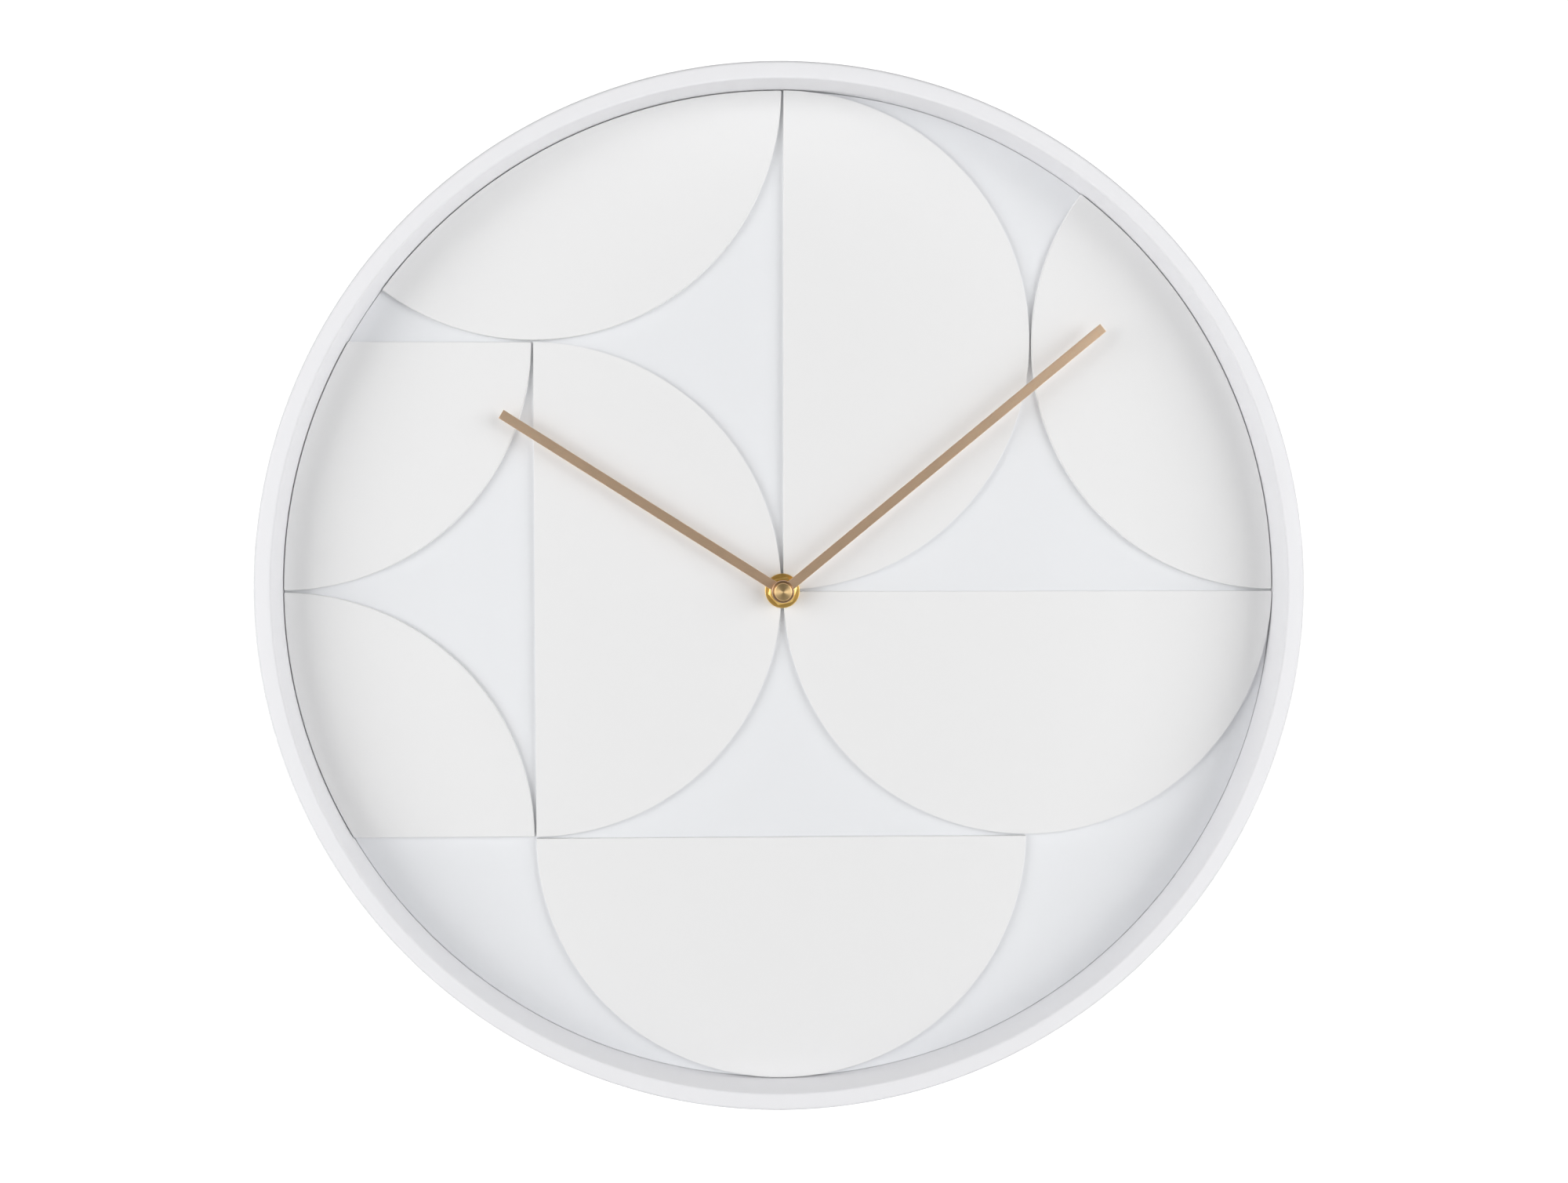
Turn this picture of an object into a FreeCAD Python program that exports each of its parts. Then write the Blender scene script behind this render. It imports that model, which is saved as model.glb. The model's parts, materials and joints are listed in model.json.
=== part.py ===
import FreeCAD, Part
import math
import os
import re
import Sketcher

# Wall clock. Millimetres, +Z up, +X to the right. The clock faces -Y.
# The origin is the centre of the plane y = 0 that rests on the wall, so every depth is a negative y.

Vector = FreeCAD.Vector

# ---------------------------------------------------------------------------------------------
# Driving dimensions
# ---------------------------------------------------------------------------------------------

SIZES = {
    # case ring and dial
    "case_diameter": 400,
    "case_depth": 45,
    "rim_width": 6.6,
    "rim_wall": 2.5,
    "rim_outer_round": 1.4,
    "rim_inner_round": 0.8,
    "skirt_wall": 2.2,
    "liner_wall": 2,
    "dial_recess": 21.5,
    "dial_thickness": 2.5,
    "dial_clearance": 0.2,
    "ledge_width": 17,
    "ledge_thickness": 2.2,
    "rib_wall": 1.6,
    "rib_height": 6,
    "dial_rib_ring": 168,
    "hub_rib_ring": 43,
    # raised tiles on the dial
    "tile_thickness": 2.2,
    "tile_gap": 0.4,
    "tile_round": 0.5,
    # screws: dial to ledge, cover to case, hanger to cover
    "dial_screw_circle": 184,
    "dial_boss_diameter": 7,
    "dial_boss_hole": 7.6,
    "boss_relief": 0.1,
    "cover_screw_circle": 186,
    "cover_boss_diameter": 8,
    "screw_diameter": 2.6,
    "screw_head_diameter": 6,
    "screw_head_height": 1.6,
    "screw_clearance": 0.4,
    "wide_head_diameter": 10,
    "dial_screw_reach": 1.3,
    "cover_screw_reach": 9,
    # back cover and hanger
    "cover_gap": 3,
    "cover_thickness": 2,
    "cover_clearance": 0.5,
    "cover_rib_ring": 120,
    "window_width": 60,
    "hanger_height": 150,
    "hanger_width": 40,
    "hanger_length": 50,
    "hanger_thickness": 1.2,
    "hanger_round": 4,
    "keyhole_entry": 9,
    "keyhole_slot": 4.4,
    "keyhole_lift": 12,
    "pilot_floor": 1,
    "hanger_screw_spread": 13,
    "hanger_screw_drop": 18,
    # fixing of the movement to the dial
    "bush_diameter": 8,
    "bush_length": 10,
    "bush_flange": 11,
    "dial_hole": 8.6,
    "washer_diameter": 13.5,
    "washer_thickness": 0.8,
    "nut_flats": 10,
    "nut_height": 2.2,
    "nut_turn": 12,
    "gasket_thickness": 0.5,
    # hands
    "hour_pipe_diameter": 5.1,
    "minute_pipe_diameter": 3.2,
    "running_fit": 0.06,
    "hand_width": 3.75,
    "hand_thickness": 0.5,
    "hand_hub_diameter": 8.7,
    "hour_hand_length": 128,
    "minute_hand_length": 160,
    "hour_hand_turn": -57.7,
    "minute_hand_turn": 50.5,
    "hour_hand_front": 31.4,
    "minute_hand_front": 34.4,
    "collet_height": 1.1,
    "collet_diameter": 7,
    "cap_diameter": 6.8,
    "cap_height": 2.5,
    "cap_round": 0.35,
    "pipe_end": 0.3,
    # movement case
    "movement_width": 56,
    "movement_depth": 16,
    "movement_wall": 1.2,
    "movement_round": 3,
    "movement_split": 4.5,
    "case_post": 4,
    "cover_post": 3,
    "post_gap": 0.4,
    "gear_plate_top": 16.5,
    "gear_plate_play": 0.1,
    "gear_plate_hole": 3.4,
    "battery_diameter": 14.2,
    "battery_length": 50,
    "battery_nub_diameter": 5.5,
    "battery_nub_height": 1,
    "battery_play": 0.3,
    "battery_lift": 0.2,
    # gear train: every wheel sits on a level, counted from the front wall inwards
    "level_clearance": 0.4,
    "level_step": 1.6,
    "wheel_thickness": 0.8,
    "pinion_length": 1.2,
    "arbor_diameter": 1.4,
    "stub_diameter": 2,
    "clutch_diameter": 4.4,
    "pivot_diameter": 0.8,
    "pivot_play": 0.05,
    "pivot_reach": 0.6,
    "long_pivot": 1.6,
    "end_shake": 0.1,
    "bearing_depth": 0.8,
    "knob_arbor_diameter": 1.8,
    "knob_diameter": 12,
    "knob_height": 2.2,
    "knob_grip": 1.2,
    "knob_gap": 0.2,
    "knob_groove": 1.1,
    "motion_distance": 10.8,
    "motion_bearing": 170,
    "third_distance": 10.08,
    "third_bearing": 60,
    "fifth_distance": 9,
    "fifth_bearing": 5,
    "rotor_distance": 7,
    "rotor_bearing": 40,
    # motor and circuit
    "magnet_diameter": 5,
    "magnet_length": 1.6,
    "stator_thickness": 0.8,
    "stator_hole": 6,
    "stator_boss": 9.2,
    "stator_left": 2,
    "stator_right": 25.5,
    "stator_leg": 4,
    "stator_top": 23.4,
    "stator_arm_low": 8.6,
    "stator_arm_high": 11.4,
    "stator_foot_low": 3.5,
    "stator_foot_high": 7,
    "coil_height": 22,
    "coil_left": 6.6,
    "coil_right": 20.9,
    "coil_diameter": 5.6,
    "bobbin_diameter": 3.4,
    "bobbin_flange": 0.8,
    "core_width": 2,
    "board_thickness": 0.8,
    "board_left": 26,
    "board_right": 0.5,
    "board_low": 10,
    "board_high": 26,
    "board_gap": 0.2,
    "board_screw": 1.2,
    "board_screw_head": 2.8,
    "board_screw_height": 0.9,
    "board_screw_reach": 1.5,
    "chip_diameter": 5.2,
    "chip_height": 0.5,
    "chip_round": 0.3,
    "crystal_diameter": 2,
    "crystal_length": 6,
    "crystal_round": 0.2,
    "contact_thickness": 0.3,
    "contact_width": 8,
    "contact_inset": 1,
    "leaf_spread": 10,
    "leaf_nose": 2,
    "leaf_width": 8,
}


def fill_sheet(document):
    """Put every driving dimension in one sheet, a name and a plain number to a row."""
    cells = document.addObject("Spreadsheet::Sheet", "Sheet")
    for row, (name, number) in enumerate(SIZES.items(), start=1):
        cells.set("A%d" % row, name)
        cells.set("B%d" % row, str(number))
        cells.setAlias("B%d" % row, name)
    document.recompute()


doc = FreeCAD.newDocument("wall_clock")
fill_sheet(doc)
pieces = []


def formula(text):
    """The expression that reads a formula's named sizes from the sheet."""
    return re.sub(r"[a-z_]+", lambda word: ("Sheet." if word.group() in SIZES else "") + word.group(), text)


def size(text):
    """The value in millimetres of a formula written with the sheet's names."""
    result = doc.Sheet.evalExpression(formula(text).replace("Sheet.", ""))
    return float(getattr(result, "Value", result))


def bind(item, prop, text):
    """Drive a property from the sheet."""
    item.setExpression(prop, formula(text))


# Depths of the main faces, as formulas (y, negative towards the front)
DIAL_FRONT = "dial_recess - case_depth"
DIAL_BACK = "dial_recess + dial_thickness - case_depth"
LEDGE_BACK = "dial_recess + dial_thickness + ledge_thickness - case_depth"
TILE_FRONT = "dial_recess - case_depth - tile_thickness"
COVER_BACK = "-cover_gap"
COVER_FRONT = "-cover_gap - cover_thickness"
BORE_RADIUS = "case_diameter / 2 - rim_width"
MOVEMENT_FRONT = DIAL_BACK + " + gasket_thickness"
MOVEMENT_INNER = MOVEMENT_FRONT + " + movement_wall"
MOVEMENT_BACK = MOVEMENT_FRONT + " + movement_depth"
MOVEMENT_INNER_BACK = MOVEMENT_BACK + " - movement_wall"
MOVEMENT_SPLIT = MOVEMENT_BACK + " - movement_split"
HALF_ROOM = "movement_width / 2 - movement_wall"
BATTERY_UP = "-movement_width / 2 + movement_wall + battery_diameter / 2 + battery_play"
BATTERY_TOP = BATTERY_UP + " + battery_diameter / 2 + battery_play"
BATTERY_DEPTH = MOVEMENT_INNER + " + battery_diameter / 2 + battery_lift"


# Places of the screws, as pairs of formulas (across, up)
SCREWS_PER_RING = 6
DIAL_SCREW = ("dial_screw_circle * cos(60)", "dial_screw_circle * sin(60)")
COVER_SCREW = ("0", "cover_screw_circle")
HANGER_SCREWS = [
    ("hanger_screw_spread", "hanger_height + hanger_screw_drop"),
    ("-hanger_screw_spread", "hanger_height + hanger_screw_drop"),
    ("hanger_screw_spread", "hanger_height - hanger_screw_drop"),
    ("-hanger_screw_spread", "hanger_height - hanger_screw_drop"),
]
KEYHOLE_UP = "hanger_height - keyhole_lift / 2"

# Each tile: its centre on the grid (half a bore radius to a step), the way its round side faces,
# and whether it meets the hole for the hands.
LEFT, RIGHT, UP, DOWN = (-1, 0), (1, 0), (0, 1), (0, -1)
TILES = [
    ("tile_upper_left", -1, 2, DOWN, False),
    ("tile_upper_centre", 0, 1, RIGHT, True),
    ("tile_upper_right", 2, 1, LEFT, False),
    ("tile_left_upper", -2, 1, DOWN, False),
    ("tile_left_lower", -2, -1, UP, False),
    ("tile_centre_left", -1, 0, RIGHT, True),
    ("tile_centre_right", 1, 0, DOWN, True),
    ("tile_lower_centre", 0, -1, DOWN, False),
]


# ---------------------------------------------------------------------------------------------
# Building blocks
# ---------------------------------------------------------------------------------------------

def add_body(label, back="0"):
    """A body whose own y = 0 plane lies at the depth that the formula gives."""
    body = doc.addObject("PartDesign::Body", label)
    body.Label = label
    body.Placement = FreeCAD.Placement(Vector(0, size(back), 0), FreeCAD.Rotation())
    bind(body, "Placement.Base.y", back)
    pieces.append(body)
    return body


def add_sketch(body, name, plane="XZ_Plane", raised="0"):
    """A sketch on one of the body's own planes, raised towards the front by a formula."""
    sketch = body.newObject("Sketcher::SketchObject", body.Label + "_" + name)
    origin_plane = next(item for item in body.Origin.OriginFeatures if item.Role == plane)
    sketch.AttachmentSupport = [(origin_plane, "")]
    sketch.MapMode = "FlatFace"
    bind(sketch, "AttachmentOffset.Base.z", raised)
    return sketch


def hold_point(sketch, geometry, point, across, up):
    """Hold a point of a sketch at two formulas, measured from the sketch's origin."""
    for kind, axis, text in (("DistanceX", -2, across), ("DistanceY", -1, up)):
        value = size(text)
        if abs(value) < 1e-9:
            sketch.addConstraint(Sketcher.Constraint("PointOnObject", geometry, point, axis))
        else:
            number = sketch.addConstraint(Sketcher.Constraint(kind, -1, 1, geometry, point, value))
            bind(sketch, "Constraints[%d]" % number, text)


def draw_circle(sketch, diameter, across="0", up="0"):
    """A circle held at its centre and by its radius."""
    centre = Vector(size(across), size(up), 0)
    circle = sketch.addGeometry(Part.Circle(centre, Vector(0, 0, 1), size(diameter) / 2), False)
    hold_point(sketch, circle, 3, across, up)
    number = sketch.addConstraint(Sketcher.Constraint("Radius", circle, size(diameter) / 2))
    bind(sketch, "Constraints[%d]" % number, "(" + diameter + ") / 2")


def draw_outline(sketch, corners):
    """A closed outline of straight lines through corners given as pairs of formulas."""
    points = [Vector(size(across), size(up), 0) for across, up in corners]
    lines = [
        sketch.addGeometry(Part.LineSegment(points[i], points[(i + 1) % len(points)]), False)
        for i in range(len(points))
    ]
    for i, line in enumerate(lines):
        sketch.addConstraint(Sketcher.Constraint("Coincident", line, 2, lines[(i + 1) % len(lines)], 1))
        hold_point(sketch, line, 1, *corners[i])


def draw_rectangle(sketch, left, bottom, right, top):
    """A rectangle between four formulas."""
    draw_outline(sketch, [(left, bottom), (right, bottom), (right, top), (left, top)])


def pad(body, sketch, length, backward=False):
    """Add material from a sketch towards the front, or towards the back."""
    feature = body.newObject("PartDesign::Pad", sketch.Name + "_pad")
    feature.Profile = sketch
    feature.Reversed = backward
    bind(feature, "Length", length)
    return feature


def pocket(body, sketch, depth, forward=True):
    """Remove material from a sketch towards the front, or towards the back."""
    feature = body.newObject("PartDesign::Pocket", sketch.Name + "_pocket")
    feature.Profile = sketch
    feature.Reversed = forward
    bind(feature, "Length", depth)
    doc.recompute()
    if feature.Shape.Volume > feature.BaseFeature.Shape.Volume - 1e-6:
        raise RuntimeError(feature.Name + " cuts nothing")
    return feature


def revolve(body, sketch, axis="V_Axis"):
    """Turn a sketch about one of its own axes."""
    feature = body.newObject("PartDesign::Revolution", sketch.Name + "_turned")
    feature.Profile = sketch
    feature.ReferenceAxis = (sketch, [axis])
    feature.Angle = 360
    return feature


def polar(body, features, count):
    """Repeat features evenly about the clock's axis."""
    feature = body.newObject("PartDesign::PolarPattern", body.Label + "_round_%d" % len(body.Group))
    feature.Originals = features
    axis = next(item for item in body.Origin.OriginFeatures if item.Role == "Y_Axis")
    feature.Axis = (axis, [""])
    feature.Angle = 360
    feature.Occurrences = count
    body.Tip = feature
    return feature


def round_edges(body, radius, wanted):
    """Round the edges of the body's last feature for which wanted(edge) is true."""
    doc.recompute()
    base = body.Tip
    names = ["Edge%d" % i for i, edge in enumerate(base.Shape.Edges, start=1) if wanted(edge)]
    feature = body.newObject("PartDesign::Fillet", body.Label + "_round_%d" % len(body.Group))
    feature.Base = (base, names)
    bind(feature, "Radius", radius)
    return feature


def flat_at(depth):
    """A test for edges that lie wholly at one depth of their own body."""
    return lambda edge: edge.BoundBox.YLength < 1e-4 and abs(edge.BoundBox.YMin - depth) < 1e-4


def along_depth(edge):
    """Whether an edge runs straight from front to back."""
    return edge.BoundBox.YLength > 0.5 and edge.BoundBox.XLength + edge.BoundBox.ZLength < 1e-4


def turned_ring(label, outer, inner, back, length):
    """A plain ring about the clock's axis, from a depth towards the front."""
    body = add_body(label, back)
    sketch = add_sketch(body, "section")
    draw_circle(sketch, outer)
    draw_circle(sketch, inner)
    pad(body, sketch, length)
    return body


def add_shape(label, shape, across=0.0, up=0.0):
    """A piece made from a ready shape, set at a place on the dial."""
    item = doc.addObject("Part::Feature", label)
    item.Label = label
    item.Shape = shape
    item.Placement = FreeCAD.Placement(Vector(across, 0, up), FreeCAD.Rotation())
    pieces.append(item)
    return item


def rod(radius, front, back, across=0.0, up=0.0):
    """A round rod along Y between two depths."""
    return Part.makeCylinder(radius, back - front, Vector(across, front, up), Vector(0, 1, 0))


def slab(left, right, front, back, bottom, top):
    """A block between three pairs of faces."""
    return Part.makeBox(right - left, back - front, top - bottom, Vector(left, front, bottom))


# ---------------------------------------------------------------------------------------------
# Case ring, dial and tiles
# ---------------------------------------------------------------------------------------------

def make_case_ring():
    """The rim: a channel open to the back, with a ledge behind the dial and bosses for the cover."""
    body = add_body("case_ring")
    section = add_sketch(body, "section", "XY_Plane")
    outer = "case_diameter / 2"
    liner = BORE_RADIUS + " + liner_wall"
    draw_outline(section, [
        (outer, "0"),
        (outer, "-case_depth"),
        (BORE_RADIUS, "-case_depth"),
        (BORE_RADIUS, DIAL_BACK),
        (BORE_RADIUS + " - ledge_width", DIAL_BACK),
        (BORE_RADIUS + " - ledge_width", LEDGE_BACK),
        (liner, LEDGE_BACK),
        (liner, "rim_wall - case_depth"),
        (outer + " - skirt_wall", "rim_wall - case_depth"),
        (outer + " - skirt_wall", "0"),
    ])
    revolve(body, section)
    front = -size("case_depth")
    middle = size("(case_diameter - rim_width) / 2")

    def outer_front(edge):
        return flat_at(front)(edge) and edge.Curve.Radius > middle

    def inner_front(edge):
        return flat_at(front)(edge) and edge.Curve.Radius < middle

    round_edges(body, "rim_outer_round", outer_front)
    round_edges(body, "rim_inner_round", inner_front)
    boss = add_sketch(body, "boss", raised="-(" + LEDGE_BACK + ")")
    draw_circle(boss, "cover_boss_diameter", *COVER_SCREW)
    bosses = pad(body, boss, "(" + COVER_FRONT + ") - (" + LEDGE_BACK + ")", backward=True)
    pilot = add_sketch(body, "pilot", raised="-(" + COVER_FRONT + ")")
    draw_circle(pilot, "screw_diameter", *COVER_SCREW)
    pilots = pocket(body, pilot, "cover_screw_reach")
    polar(body, [bosses, pilots], SCREWS_PER_RING)
    hole = add_sketch(body, "dial_boss_hole", raised="-(" + LEDGE_BACK + ")")
    draw_circle(hole, "dial_boss_hole", *DIAL_SCREW)
    holes = pocket(body, hole, "ledge_thickness")
    polar(body, [holes], SCREWS_PER_RING)


def make_dial_plate():
    """The dial: a thin disc with screw bosses and stiffening ribs on its back."""
    body = add_body("dial_plate", DIAL_BACK)
    disc = add_sketch(body, "disc")
    draw_circle(disc, "2 * (" + BORE_RADIUS + " - dial_clearance)")
    draw_circle(disc, "dial_hole")
    pad(body, disc, "dial_thickness")
    for name in ("dial_rib_ring", "hub_rib_ring"):
        ring = add_sketch(body, name)
        draw_circle(ring, "2 * " + name)
        draw_circle(ring, "2 * (" + name + " + rib_wall)")
        pad(body, ring, "rib_height", backward=True)
    rib = add_sketch(body, "rib")
    draw_rectangle(
        rib, "-rib_wall / 2", "hub_rib_ring + rib_wall / 2", "rib_wall / 2", "dial_rib_ring + rib_wall / 2")
    ribs = pad(body, rib, "rib_height", backward=True)
    boss = add_sketch(body, "boss")
    draw_circle(boss, "dial_boss_diameter", *DIAL_SCREW)
    bosses = pad(body, boss, "ledge_thickness - boss_relief", backward=True)
    pilot = add_sketch(body, "pilot", raised="boss_relief - ledge_thickness")
    draw_circle(pilot, "screw_diameter", *DIAL_SCREW)
    pilots = pocket(body, pilot, "ledge_thickness - boss_relief + dial_screw_reach")
    polar(body, [ribs, bosses, pilots], SCREWS_PER_RING)


def copy_outline(sketch, outline, circles, straight):
    """Draw a flat wire of arcs and one straight edge, each held to its circle or to its line."""
    upright, offset = straight
    ends = []
    for edge in outline.Edges:
        first, last = edge.ParameterRange
        if isinstance(edge.Curve, Part.Circle):
            number = sketch.addGeometry(Part.ArcOfCircle(edge.Curve, first, last), False)
            across, up, radius = min(circles, key=lambda item: abs(size(item[2]) - edge.Curve.Radius))
            hold_point(sketch, number, 3, across, up)
            constraint = sketch.addConstraint(Sketcher.Constraint("Radius", number, size(radius)))
            bind(sketch, "Constraints[%d]" % constraint, radius)
        else:
            number = sketch.addGeometry(Part.LineSegment(edge.valueAt(first), edge.valueAt(last)), False)
            sketch.addConstraint(Sketcher.Constraint("Vertical" if upright else "Horizontal", number))
            kind = "DistanceX" if upright else "DistanceY"
            constraint = sketch.addConstraint(Sketcher.Constraint(kind, -1, 1, number, 1, size(offset)))
            bind(sketch, "Constraints[%d]" % constraint, offset)
        ends += [(number, 1, edge.valueAt(first)), (number, 2, edge.valueAt(last))]
    for i, (number, point, place) in enumerate(ends):
        for other, other_point, other_place in ends[i + 1:]:
            if other != number and place.distanceToPoint(other_place) < 1e-4:
                sketch.addConstraint(Sketcher.Constraint("Coincident", number, point, other, other_point))


def make_tile(label, across, up, facing, meets_hub):
    """A half disc whose centre lies on the grid, trimmed by the rim and by the hole for the hands."""
    body = add_body(label, DIAL_FRONT)
    grid = "(" + BORE_RADIUS + ") / 2"
    centre = ("%g * " % across + grid, "%g * " % up + grid)
    radius = grid + " - tile_gap"
    rim = BORE_RADIUS + " - tile_gap"
    upright = facing[0] != 0
    offset = centre[0 if upright else 1] + " + %g * tile_gap" % (facing[0] + facing[1])

    middle = Vector(size(centre[0]), size(centre[1]), 0)
    aim = math.atan2(facing[1], facing[0])
    half_turn = math.acos(size("tile_gap") / size(radius))
    circle = Part.Circle(middle, Vector(0, 0, 1), size(radius))
    arc = Part.ArcOfCircle(circle, aim - half_turn, aim + half_turn).toShape()
    chord = Part.makeLine(arc.valueAt(arc.LastParameter), arc.valueAt(arc.FirstParameter))
    half_disc = Part.Face(Part.Wire([arc, chord]))
    rim_disc = Part.Face(Part.Wire(Part.makeCircle(size(rim))))
    crosses_rim = half_disc.cut(rim_disc).Area > 1
    visible = half_disc.common(rim_disc).Faces[0] if crosses_rim else half_disc

    shape = add_sketch(body, "half_disc")
    circles = [(centre[0], centre[1], radius), ("0", "0", rim)]
    copy_outline(shape, visible.OuterWire, circles, (upright, offset))
    pad(body, shape, "tile_thickness")
    if meets_hub:
        hub = add_sketch(body, "hub")
        draw_circle(hub, "dial_hole")
        pocket(body, hub, "tile_thickness")
    round_edges(body, "tile_round", flat_at(-size("tile_thickness")))


def make_screws(label, seat, places, head, reach, count=1):
    """Pan-head screws driven towards the front; their heads sit on the plane at the seat's depth."""
    body = add_body(label, seat)
    heads = add_sketch(body, "heads")
    shanks = add_sketch(body, "shanks")
    for place in places:
        draw_circle(heads, head, *place)
        draw_circle(shanks, "screw_diameter", *place)
    features = [
        pad(body, heads, "screw_head_height", backward=True),
        pad(body, shanks, reach),
    ]
    if count > 1:
        polar(body, features, count)


# ---------------------------------------------------------------------------------------------
# Back cover and hanger
# ---------------------------------------------------------------------------------------------

def make_back_cover():
    """The cover: a ribbed disc inside the skirt, with a window for the movement and a keyhole well."""
    body = add_body("back_cover", COVER_BACK)
    disc = add_sketch(body, "disc")
    draw_circle(disc, "2 * (case_diameter / 2 - skirt_wall - cover_clearance)")
    pad(body, disc, "cover_thickness")
    inside = "cover_thickness"
    ring = add_sketch(body, "rib_ring", raised=inside)
    draw_circle(ring, "2 * cover_rib_ring")
    draw_circle(ring, "2 * (cover_rib_ring + rib_wall)")
    pad(body, ring, "rib_height")
    frame = add_sketch(body, "window_frame", raised=inside)
    half = "window_width / 2"
    outside = half + " + rib_wall"
    draw_rectangle(frame, "-(" + outside + ")", "-(" + outside + ")", outside, outside)
    pad(body, frame, "rib_height")
    pads = []
    for place in HANGER_SCREWS:
        boss = add_sketch(body, "hanger_boss_%d" % len(pads), raised=inside)
        draw_circle(boss, "cover_boss_diameter", *place)
        pads.append(pad(body, boss, "rib_height"))
    rib = add_sketch(body, "rib", raised=inside)
    draw_rectangle(
        rib, "-rib_wall / 2", "-(cover_rib_ring + rib_wall / 2)", "rib_wall / 2", "-(" + half + ")")
    ribs = pad(body, rib, "rib_height")
    polar(body, [ribs], 4)
    window = add_sketch(body, "window")
    draw_rectangle(window, "-" + half, "-" + half, half, half)
    pocket(body, window, "cover_thickness + rib_height")
    well = add_sketch(body, "keyhole_well")
    draw_rectangle(
        well,
        "-keyhole_entry",
        "hanger_height - hanger_screw_drop + cover_boss_diameter / 2",
        "keyhole_entry",
        "hanger_height + hanger_screw_drop - cover_boss_diameter / 2",
    )
    pocket(body, well, "cover_thickness")
    for number, place in enumerate(HANGER_SCREWS):
        pilot = add_sketch(body, "hanger_pilot_%d" % number)
        draw_circle(pilot, "screw_diameter", *place)
        pocket(body, pilot, "cover_thickness + rib_height - pilot_floor")
    screw = add_sketch(body, "screw_hole")
    draw_circle(screw, "screw_diameter + screw_clearance", *COVER_SCREW)
    polar(body, [pocket(body, screw, "cover_thickness")], SCREWS_PER_RING)


def make_keyhole_hanger():
    """A steel plate with a keyhole: the head of a wall screw goes in below and hangs in the slot above."""
    body = add_body("keyhole_hanger", COVER_BACK + " + hanger_thickness")
    plate = add_sketch(body, "plate")
    across = "hanger_width / 2"
    along = "hanger_length / 2"
    draw_rectangle(plate, "-" + across, "hanger_height - " + along, across, "hanger_height + " + along)
    for place in HANGER_SCREWS:
        draw_circle(plate, "screw_diameter + screw_clearance", *place)
    pad(body, plate, "hanger_thickness")
    doc.recompute()
    round_edges(body, "hanger_round", along_depth)
    entry = add_sketch(body, "entry")
    draw_circle(entry, "keyhole_entry", "0", KEYHOLE_UP)
    pocket(body, entry, "hanger_thickness")
    slot = add_sketch(body, "slot")
    side = "keyhole_slot / 2"
    draw_rectangle(slot, "-" + side, KEYHOLE_UP, side, KEYHOLE_UP + " + keyhole_lift")
    pocket(body, slot, "hanger_thickness")
    top = add_sketch(body, "slot_top")
    draw_circle(top, "keyhole_slot", "0", KEYHOLE_UP + " + keyhole_lift")
    pocket(body, top, "hanger_thickness")


# ---------------------------------------------------------------------------------------------
# Hands and the fixing of the movement
# ---------------------------------------------------------------------------------------------

def make_hand(label, length, turn, front, bore):
    """A straight flat hand with a round hub, turned clockwise from twelve by its angle."""
    back = "hand_thickness - " + front
    body = add_body(label, back)
    body.Placement = FreeCAD.Placement(
        Vector(0, size(back), 0), FreeCAD.Rotation(Vector(0, 1, 0), size(turn)))
    bind(body, "Placement.Rotation.Angle", turn)
    blade = add_sketch(body, "blade")
    draw_rectangle(blade, "-hand_width / 2", "0", "hand_width / 2", length)
    pad(body, blade, "hand_thickness")
    hub = add_sketch(body, "hub")
    draw_circle(hub, "hand_hub_diameter")
    pad(body, hub, "hand_thickness")
    hole = add_sketch(body, "hole")
    draw_circle(hole, bore)
    pocket(body, hole, "hand_thickness")


def make_hands():
    """Both hands, the collets that grip their pipes, and the turned cap over the end."""
    make_hand("hour_hand", "hour_hand_length", "hour_hand_turn", "hour_hand_front", "hour_pipe_diameter")
    make_hand("minute_hand", "minute_hand_length", "minute_hand_turn", "minute_hand_front",
              "minute_pipe_diameter")
    for hand, pipe in (("hour", "hour_pipe_diameter"), ("minute", "minute_pipe_diameter")):
        blade_back = "hand_thickness - %s_hand_front" % hand
        turned_ring(hand + "_hand_collet", "collet_diameter", pipe,
                    blade_back + " + collet_height", "collet_height")
    cap = add_body("hand_cap", "-minute_hand_front")
    disc = add_sketch(cap, "disc")
    draw_circle(disc, "cap_diameter")
    pad(cap, disc, "cap_height")
    socket = add_sketch(cap, "socket")
    draw_circle(socket, "minute_pipe_diameter")
    pocket(cap, socket, "cap_height / 3")
    round_edges(cap, "cap_round", flat_at(-size("cap_height")))


def make_fixing():
    """The threaded bush, its washer and nut on the dial, and the gasket behind the dial."""
    body = add_body("threaded_bush", MOVEMENT_INNER)
    barrel = add_sketch(body, "barrel")
    draw_circle(barrel, "bush_diameter")
    draw_circle(barrel, "hour_pipe_diameter + 2 * running_fit")
    pad(body, barrel, "bush_length")
    flange = add_sketch(body, "flange", raised="movement_wall")
    draw_circle(flange, "bush_flange")
    draw_circle(flange, "bush_diameter")
    pad(body, flange, "gasket_thickness")
    turned_ring("dial_washer", "washer_diameter", "bush_diameter", TILE_FRONT, "washer_thickness")
    nut = add_body("dial_nut", TILE_FRONT + " - washer_thickness")
    hexagon = add_sketch(nut, "hexagon")
    corner = "nut_flats / sqrt(3)"
    draw_outline(hexagon, [
        (corner + " * cos(nut_turn + %d)" % turn, corner + " * sin(nut_turn + %d)" % turn)
        for turn in range(0, 360, 60)
    ])
    draw_circle(hexagon, "bush_diameter")
    pad(nut, hexagon, "nut_height")
    gasket = add_body("movement_gasket", MOVEMENT_FRONT)
    square = add_sketch(gasket, "square")
    half = "movement_width / 2 - 1"
    draw_rectangle(square, "-(" + half + ")", "-(" + half + ")", half, half)
    draw_circle(square, "bush_flange + 1")
    pad(gasket, square, "gasket_thickness")


# ---------------------------------------------------------------------------------------------
# Movement case
# ---------------------------------------------------------------------------------------------

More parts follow.
